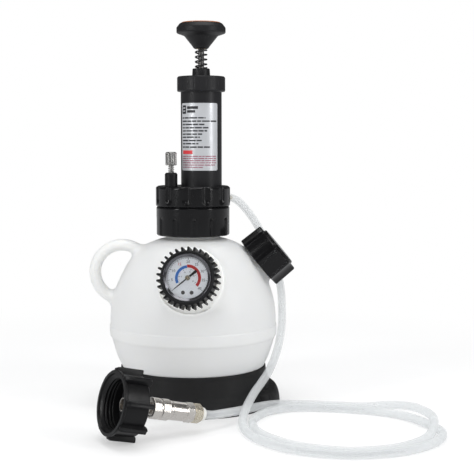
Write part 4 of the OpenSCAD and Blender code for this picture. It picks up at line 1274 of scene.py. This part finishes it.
def tick(angle, outer, length, half_width):
    return moved(slab(outer - length, outer, -half_width, half_width, PRINT_BASE, 0.04),
                 turn(angle))


def number(text, size, angle, x_radius, y_radius, top=0.045):
    """A number as closed raised print."""
    curve = bpy.data.curves.new("num", "FONT")
    curve.body = text
    curve.size = size
    curve.align_x, curve.align_y = "CENTER", "CENTER"
    curve.resolution_u = 3
    curve.extrude = (top - PRINT_BASE) / 2
    ob = add_object("num", curve)
    bpy.context.view_layer.update()
    graph = bpy.context.evaluated_depsgraph_get()
    mesh = bpy.data.meshes.new_from_object(ob.evaluated_get(graph))
    centre = (x_radius * cos(radians(angle)), y_radius * sin(radians(angle)),
              (PRINT_BASE + top) / 2)
    points = np.array([v.co[:] for v in mesh.vertices]) + centre
    faces = [tuple(p.vertices) for p in mesh.polygons]
    bpy.data.objects.remove(ob)
    bpy.data.curves.remove(curve)
    bpy.data.meshes.remove(mesh)
    return points.tolist(), faces


marks = []
for i in range(41):
    half_width = 0.26 if i % 10 == 0 else 0.2 if i % 5 == 0 else 0.11
    marks.append(tick(scale_angle(i, 40), 18.9, 1.0 if i % 5 else 2.0, half_width))
for i in range(27):
    marks.append(tick(scale_angle(i, 26), 8.7, *((0.7, 0.09) if i % 5 else (1.2, 0.2))))
marks.append(sector(18.75, 18.95, SCALE_END, SCALE_START, PRINT_BASE, 0.04))
outer_numbers = [number(str(5 * i), 3.5, scale_angle(i, 8), 14.7, 14.9) for i in range(1, 9)]
red_number = outer_numbers.pop(2)
inner_numbers = [number(str(5 * i), 2.0, scale_angle(5 * i, 26), 5.9, 5.9) for i in range(6)]
# (name, shape, material, slot)
for name, shape, material, slot in [
        ("dial_marks", merge(*marks, *outer_numbers, *inner_numbers), "dial_ink",
         "pointer_black"),
        ("dial_mark_red", red_number, "dial_red", "pointer_black"),
        ("dial_arc_blue", sector(9.15, 11.75, 95, 207, PRINT_BASE, 0.05), "dial_blue",
         "dial_white"),
        ("dial_arc_red", sector(9.6, 12.4, -40, 94.4, PRINT_BASE, 0.05), "dial_red",
         "dial_white")]:
    piece(name, shape, material, slot, at=GAUGE, sharp=30)


def make_pointer():
    """A needle along +x with a short tail and a holed disc round the axis."""
    disc = [(2.2 * cos(a), 2.2 * sin(a)) for a in np.radians(np.linspace(154, 14, 14))]
    upper = [(-10.6, 0.9), (-10.35, 1.2), (-8.2, 1.22), (-2.0, 0.95), *disc, (6.0, 0.62),
             (16.0, 0.30), (16.6, 0.16)]
    outline = np.array(upper + [(x, -y) for x, y in reversed(upper)])
    theta = pi - circle(len(outline)) - 0.08
    hole = np.stack([1.3 * np.cos(theta), 1.3 * np.sin(theta)], 1)
    bevel = outline * np.array([0.985, 0.82])
    return loft([np.column_stack([ring, np.full(len(ring), z)]) for ring, z in
                 ((outline, 0.47), (outline, 0.70), (bevel, 0.80), (hole, 0.80), (hole, 0.47))],
                close=True)


NEEDLE_BOSS = [(0.56, 0.15, 0), (1.26, 0.15, 0.05), (1.26, 0.82, 0.02), (2.4, 0.82, 0.06),
               (2.4, 0.98, 0.06), (1.9, 1.3, 0.15), (0.56, 1.3, 0.05)]
DIAL_SCREW = [(0, 0.02), (1.8, 0.02, 0.05), (1.72, 0.42, 0.12), (1.2, 0.62, 0.2), (0, 0.7)]
SCREW_PLACES = [shift(x, -13.5) for x in (-4.0, 4.0)]
piece("needle", moved(make_pointer(), turn(SCALE_START)), "pointer", "pointer_black",
      "gauge_pointer", at=GAUGE, body="pointer", sharp=40)
piece("needle_boss", turned(NEEDLE_BOSS, 48, rad=0.1, seg=3, hold=0.06), "brassy", "brass",
      "pointer_hub", at=GAUGE, body="pointer")
screw = turned(DIAL_SCREW, 32, rad=0.1, seg=3, hold=0.08)
screws = piece("dial_fixings", merge(*(moved(screw, spot) for spot in SCREW_PLACES)),
               "darksteel", "steel", "dial_screws", at=GAUGE)
screw_slot = slab(-2, 2, -0.16, 0.16, 0.4, 1.2)
cut(screws, *((moved(screw_slot, spot), GAUGE) for spot in SCREW_PLACES))

# ---------------------------------------------------------------- hose
# (x, y, z) stations between the barb at the outlet and the coupler; z = 4.05 lies on the floor
HOSE = [
    (45.4, 40, 198.9), (53, 43, 190.9), (60.2, 43.2, 181.3), (66, 41, 172), (71, 38.7, 162.6),
    (75, 36.3, 153.5), (83, 29.5, 134), (88.3, 16, 113), (89.2, 3, 92), (88.2, -8, 74),
    (83.4, -22, 54.5), (75.6, -36, 38), (67.4, -52, 29), (60, -68, 22.4), (53, -88, 14.2),
    (49.2, -110, 7.2), (51.5, -135, 4.25), (64, -166, 4.1), (92, -196, 4.05),
    (136, -210, 4.05), (180, -201, 4.05), (211, -176, 4.05), (224.5, -147, 4.05),
    (222.5, -125, 4.05), (213.4, -102, 4.05), (200, -81, 4.05), (180, -66, 4.05),
    (148, -55, 4.05), (118, -49.5, 4.05), (96, -51, 4.05), (77, -62, 4.05), (64.5, -80, 4.05),
    (58.8, -98, 4.05), (58.2, -116, 4.05), (62, -138, 4.05), (74, -162, 4.05),
    (98, -187, 4.05), (136, -201.2, 4.05), (174, -193, 4.05), (201, -171, 4.3),
    (213.6, -152, 6.6), (219.2, -134, 11.4), (220.4, -117, 12.6), (216.8, -99.2, 12.7),
    (207.8, -80.2, 12.4), (191, -61.4, 9.4), (168, -49.8, 5.2), (145, -43.2, 4.1),
    (118, -38.2, 4.05), (98, -38, 4.6), (84, -44.5, 6.2), (70.5, -55.2, 7.4), (58, -69, 8.4),
    (47, -84.5, 9.8), (37.2, -99, 11.6), (28, -111, 13)]


def hose_path():
    """The stations with a straight run on the barb at each end."""
    stations = [(s * outlet_z[0], s * outlet_z[1], 203) for s in (42.2, 51)] + HOSE
    stations += [COUPLER[:3, 3] + COUPLER_AXIS * s for s in (-63, -46.5)]
    p = np.array(stations, float)
    return np.vstack([p[0], p[0] * 0.6 + p[1] * 0.4, spline(p, 7, skip=1),
                      p[-2] * 0.5 + p[-1] * 0.5, p[-1]])


piece("clear_hose", tube(hose_path(), outer=4.0, inner=2.75, sides=28, rim=0.25), "hose",
      "hose_plastic", "hose", sharp=50)


# ---------------------------------------------------------------- quick coupler
def make_coupler():
    profile = soften(
        [(1.4, -57, 0.1), (2.1, -57), (2.5, -54.4, 0), (2.2, -54.2, 0), (2.5, -52, 0),
         (2.2, -51.8, 0), (2.5, -49.6, 0), (2.2, -49.4, 0), (2.2, -43.9, 0), (7.9, -43.9, 0.1),
         (9.22, -43.1), (9.22, -37.4), (8.5, -36.9, 0.15), (8.5, -36.2, 0.1),
         (8.15, -36.0, 0.15), (8.15, -34.9, 0.15), (8.5, -34.7, 0.15), (8.5, -22.4, 0.15),
         (8.2, -22.2, 0.1), (8.2, -21.6, 0.1), (8.5, -21.4, 0.1), (8.5, -16.4, 0.3),
         (8.1, -16, 0.1), (7.0, -16, 0.1), (7.0, -2.9, 0.3), (6.6, -2.4), (5.12, -2.4),
         (5.12, -13.5), (1.4, -13.5, 0.1)], rad=0.2, seg=3, hold=0.12)
    return lathe(rows(profile, 0.45, lambda r, z: r > 8.0 and z < -36.8), HEX_THETA,
                 hexed(16, -43.95, -36.85))


def make_sleeve():
    profile = soften([(7.12, -1.6, 0.15), (8.5, -1.6, 0.3), (9.5, -2.6, 0.4), (9.5, -9.4),
                      (8.8, -10, 0.15), (8.8, -11, 0.15), (9.5, -11.6), (9.5, -18.5, 0.3),
                      (9.05, -19.5, 0.2), (8.62, -19.5, 0.1), (8.62, -9, 0.1), (7.12, -9, 0.1)],
                     rad=0.25, hold=0.12)

    def knurl(r, z, theta):
        if r[0] < 8.9:
            return r, z
        wave = (np.cos(theta * 60) * 0.5 + 0.5) ** 1.5
        return r - 0.11 * wave * smooth_step(r, 8.9, 9.5), z

    return lathe(rows(profile, 0.6, lambda r, z: r > 9.3), 360, knurl)


def make_hose_nut():
    profile = soften([(4.35, -52.6, 0.1), (7.2, -52.6), (7.25, -51.7, 0.05), (7.75, -51.6, 0.1),
                      (9.0, -50.8), (9.0, -44.7), (7.75, -43.93, 0.15), (4.35, -43.93, 0.1)],
                     rad=0.2, seg=3, hold=0.12)
    return lathe(rows(profile, 0.4, lambda r, z: r > 7.6), HEX_THETA,
                 hexed(15.6, -51.65, -43.9))


def make_plug():
    profile = soften(
        [(1.8, -12.5, 0.1), (4.2, -12.5, 0.4), (4.2, -11.2, 0.1), (3.3, -11.2, 0.1),
         (3.3, -9.6, 0.1), (4.2, -9.6, 0.1), (5, -8), (5, -6.2), (4.4, -6.0), (4.4, -4.4),
         (5, -4.2), (5, 2.5), (7, 3, 0.3), (7, 5, 0.3), (6.2, 5.4, 0.1), (7.3, 5.4, 0.1),
         (8.66, 6.2), (8.66, 10.1), (7.3, 10.95, 0.1), (6.3, 10.95, 0.05), (6.3, 17.6, 0.1),
         (8.6, 17.6, 0.3), (8.6, 19.2, 0.3), (6.3, 19.2, 0.1), (6.3, 24.5, 0.4), (5.9, 25, 0.3),
         (5, 25, 0.25), (5, 14, 0.1), (1.8, 14, 0.1)], rad=0.2, seg=3, hold=0.12)
    return lathe(rows(profile, 0.45, lambda r, z: r > 7.2 and 5.3 < z < 11), HEX_THETA,
                 hexed(15, 5.35, 10.97))


FERRULE = [(4.35, -52.62, 0.1), (6.4, -52.62), (6.0, -55.4, 0.8), (5.2, -56.6, 0.4),
           (4.35, -56.6, 0.15)]
piece("coupler_shell", make_coupler(), "nickel", "nickel", "coupler_body", at=COUPLER, sharp=28)
piece("coupler_collar", make_sleeve(), "nickel", "nickel", "coupler_sleeve", at=COUPLER,
      body="sleeve", sharp=45)
piece("hose_nut_hex", make_hose_nut(), "brassy", "nickel_brass", "hose_nut", at=COUPLER, sharp=28)
piece("hose_ferrule_ring", turned(FERRULE, 72, rad=0.3, hold=0.15), "white", "white_plastic",
      "hose_ferrule", at=COUPLER)
piece("plug_spigot", make_plug(), "nickel", "nickel", "adapter_plug", at=COUPLER, body="plug",
      sharp=28)


# ---------------------------------------------------------------- reservoir adapter cap
def make_adapter():
    profile = soften(
        [(6.42, 14.5, 0.15), (6.42, 11.0, 0.25), (25.5, 11.0, 1.0), (26.6, 12.1, 0.8),
         (26.8, 32.6), (28.3, 33.3, 0.5), (28.8, 34.0), (28.8, 35.5, 0.4), (28.3, 36.0),
         (25.6, 36.0, 0.35), (25.1, 34.3, 0.4), (23.4, 33.0), (22.55, 32.4), (22.55, 24.0, 0.2),
         (21.5, 23.4, 0.2), (21.5, 14.5, 0.4)], rad=0.3, seg=5, hold=0.15)
    pitch, depth = 3.6, 0.95

    def thread(r, z, theta):
        """Shallow buttress thread in the mouth, faded at both ends."""
        if not (22.3 < r[0] < 24.2 and 23.9 < z[0] < 33.1):
            return r, z
        phase = (z / pitch - theta / (2 * pi)) % 1.0
        falling = np.where(phase < 0.66, 1 - (phase - 0.40) / 0.26, 0.0)
        crest = np.where(phase < 0.18, phase / 0.18, np.where(phase < 0.40, 1.0, falling))
        fade = smooth_step(z, 24.6, 26.2) * (1 - smooth_step(z, 31.6, 32.9))
        return r - depth * crest * fade, z

    bore_rows = rows(profile, 0.3, lambda r, z: 22.4 < r < 22.6 and 24.0 <= z <= 32.4)
    return lathe(bore_rows, 192, thread)


# half of a grip rib's thickness: (offset from its middle, inset of the outline)
RIB_HALF = [(0.45, 0.16), (1.0, 0.05), (1.5, 0.0), (1.9, 0.02), (2.2, 0.16), (2.36, 0.42),
            (2.4, 0.75)]


def grip_rib(angle):
    """One upright grip rib: a plate with rolled edges that reaches below the cap's end wall."""
    def outline(d):
        edge, foot, roll = 31.6 - d, 9.1 + d, 1.1
        corner = [(edge - roll + roll * cos(a), foot + roll - roll * sin(a))
                  for a in np.linspace(0, pi / 2, 5)]
        return [(25.0, 32.8 - d), (27.4, 32.8 - d), (27.45, 33.2 - d), (27.5, 34.8 - d),
                (27.9, 35.2 - d), (29.5, 35.2 - d), (30.1, 35.05 - d),
                (30.5 - d * 0.5, 34.6 - d), (31.5 - d, 32.2 - d), (edge, 31.6 - d), (edge, 24.0),
                (edge, 17.0), *corner, (28.6, foot), (27.2, 9.35 + d), (26.2, 10.0 + d),
                (25.2, 11.4 + d * 0.5), (24.2, 12.4), (25.0, 14.0)]

    sections = [(-y, d) for y, d in reversed(RIB_HALF)] + RIB_HALF
    return moved(loft([[(r, y, z) for r, z in outline(d)] for y, d in sections], cap=True),
                 turn(angle))


adapter = piece("adapter_shell", make_adapter(), "satin", "gloss_black", "adapter_cap",
                at=COUPLER, body="adapter", sharp=36)
cut(adapter, *((grip_rib(11 + 45 * i), COUPLER) for i in range(8)), operation="UNION")


# ---------------------------------------------------------------- stage, light and camera
def floor_white():
    """Matt white that turns into pure white light away from the product."""
    mat = Nodes("floor_white")
    far = mat.span(mat.measure("LENGTH"), (0.24, 0.66), to=(0.40, 1.0), smooth=True)
    tone = mat.mix(mat.span(mat.noise(scale=9), MIDDLE), (0.93, 0.93, 0.93, 1),
                   (0.95, 0.95, 0.952, 1))
    matt = mat.node("BsdfPrincipled", Base_Color=tone, Roughness=0.7, Specular_IOR_Level=0.15,
                    Normal=mat.bump(mat.noise(scale=600, detail=2), mm=0.02))
    white = mat.node("Emission", Color=(1, 1, 1, 1), Strength=1.0)
    # in polished surfaces the floor shows as a soft grey
    grey = mat.node("Emission", Color=(0.97, 0.98, 1, 1), Strength=0.60)
    glossy = mat.node("LightPath").outputs["Is Glossy Ray"]
    return mat.finish(mat.blend(glossy, mat.blend(far, matt, white), grey))


floor_mesh = bpy.data.meshes.new("floor")
floor_mesh.from_pydata([(-9, -6, 0), (9, -6, 0), (9, 16, 0), (-9, 16, 0)], [], [(0, 1, 2, 3)])
floor = add_object("floor", floor_mesh)
floor_mesh.materials.append(floor_white())


def make_studio():
    """World light: each kind of ray sees its own background."""
    studio = bpy.data.worlds.new("studio")
    bpy.context.scene.world = studio
    studio.use_nodes = True
    tree = studio.node_tree
    tree.nodes.clear()
    rays = tree.nodes.new("ShaderNodeLightPath")

    def background(colour, strength):
        node = tree.nodes.new("ShaderNodeBackground")
        node.inputs["Color"].default_value = colour
        node.inputs["Strength"].default_value = strength
        return node

    def choose(ray, otherwise, seen):
        node = tree.nodes.new("ShaderNodeMixShader")
        for i, output in enumerate((rays.outputs[ray], otherwise.outputs[0], seen.outputs[0])):
            tree.links.new(output, node.inputs[i])
        return node

    fill = background(colour=(0.98, 0.99, 1.0, 1), strength=0.60)
    mirrored_sky = background(colour=(1, 1, 1, 1), strength=0.085)
    backdrop = background(colour=(1, 1, 1, 1), strength=1.0)
    sky = choose("Is Camera Ray", choose("Is Glossy Ray", fill, mirrored_sky), backdrop)
    output = tree.nodes.new("ShaderNodeOutputWorld")
    tree.links.new(sky.outputs[0], output.inputs["Surface"])


def softbox(name, location, target, width, height, watts):
    light = bpy.data.lights.new(name, "AREA")
    light.shape = "RECTANGLE"
    light.size = width
    light.size_y = height
    light.energy = watts
    light.color = (1, 1, 1)
    ob = bpy.data.objects.new(name, light)
    ob.location = location
    aim = Vector(target) - Vector(location)
    ob.rotation_euler = aim.to_track_quat("-Z", "Y").to_euler()
    bpy.context.scene.collection.objects.link(ob)


make_studio()
# (name, location, target, width, height, watts), in metres
for box in [("box_left", (-1.15, -0.95, 0.75), (0, 0, 0.16), 0.26, 1.1, 7.5),
            ("box_right", (1.25, -0.75, 0.70), (0, 0, 0.16), 0.26, 1.1, 6.5),
            ("box_top", (0.1, 0.0, 1.5), (0, -0.02, 0.1), 1.1, 1.0, 9.0),
            ("box_front", (0.0, -1.9, 1.3), (0, 0, 0.16), 0.9, 0.5, 4.0)]:
    softbox(*box)

CAMERA_PLACE = (0.0439, -1.0853, 0.2579)
CAMERA_TILT_DOWN = 4.878  # degrees below level, looking along +y
lens = bpy.data.cameras.new("camera")
lens.lens = 82.74
lens.sensor_width = 36.0
lens.clip_start = 0.05
lens.clip_end = 60.0
camera = add_object("camera", lens)
camera.location = CAMERA_PLACE
camera.rotation_euler = (radians(90 - CAMERA_TILT_DOWN), 0, 0)
bpy.context.scene.camera = camera
bpy.context.scene.view_settings.view_transform = "Standard"
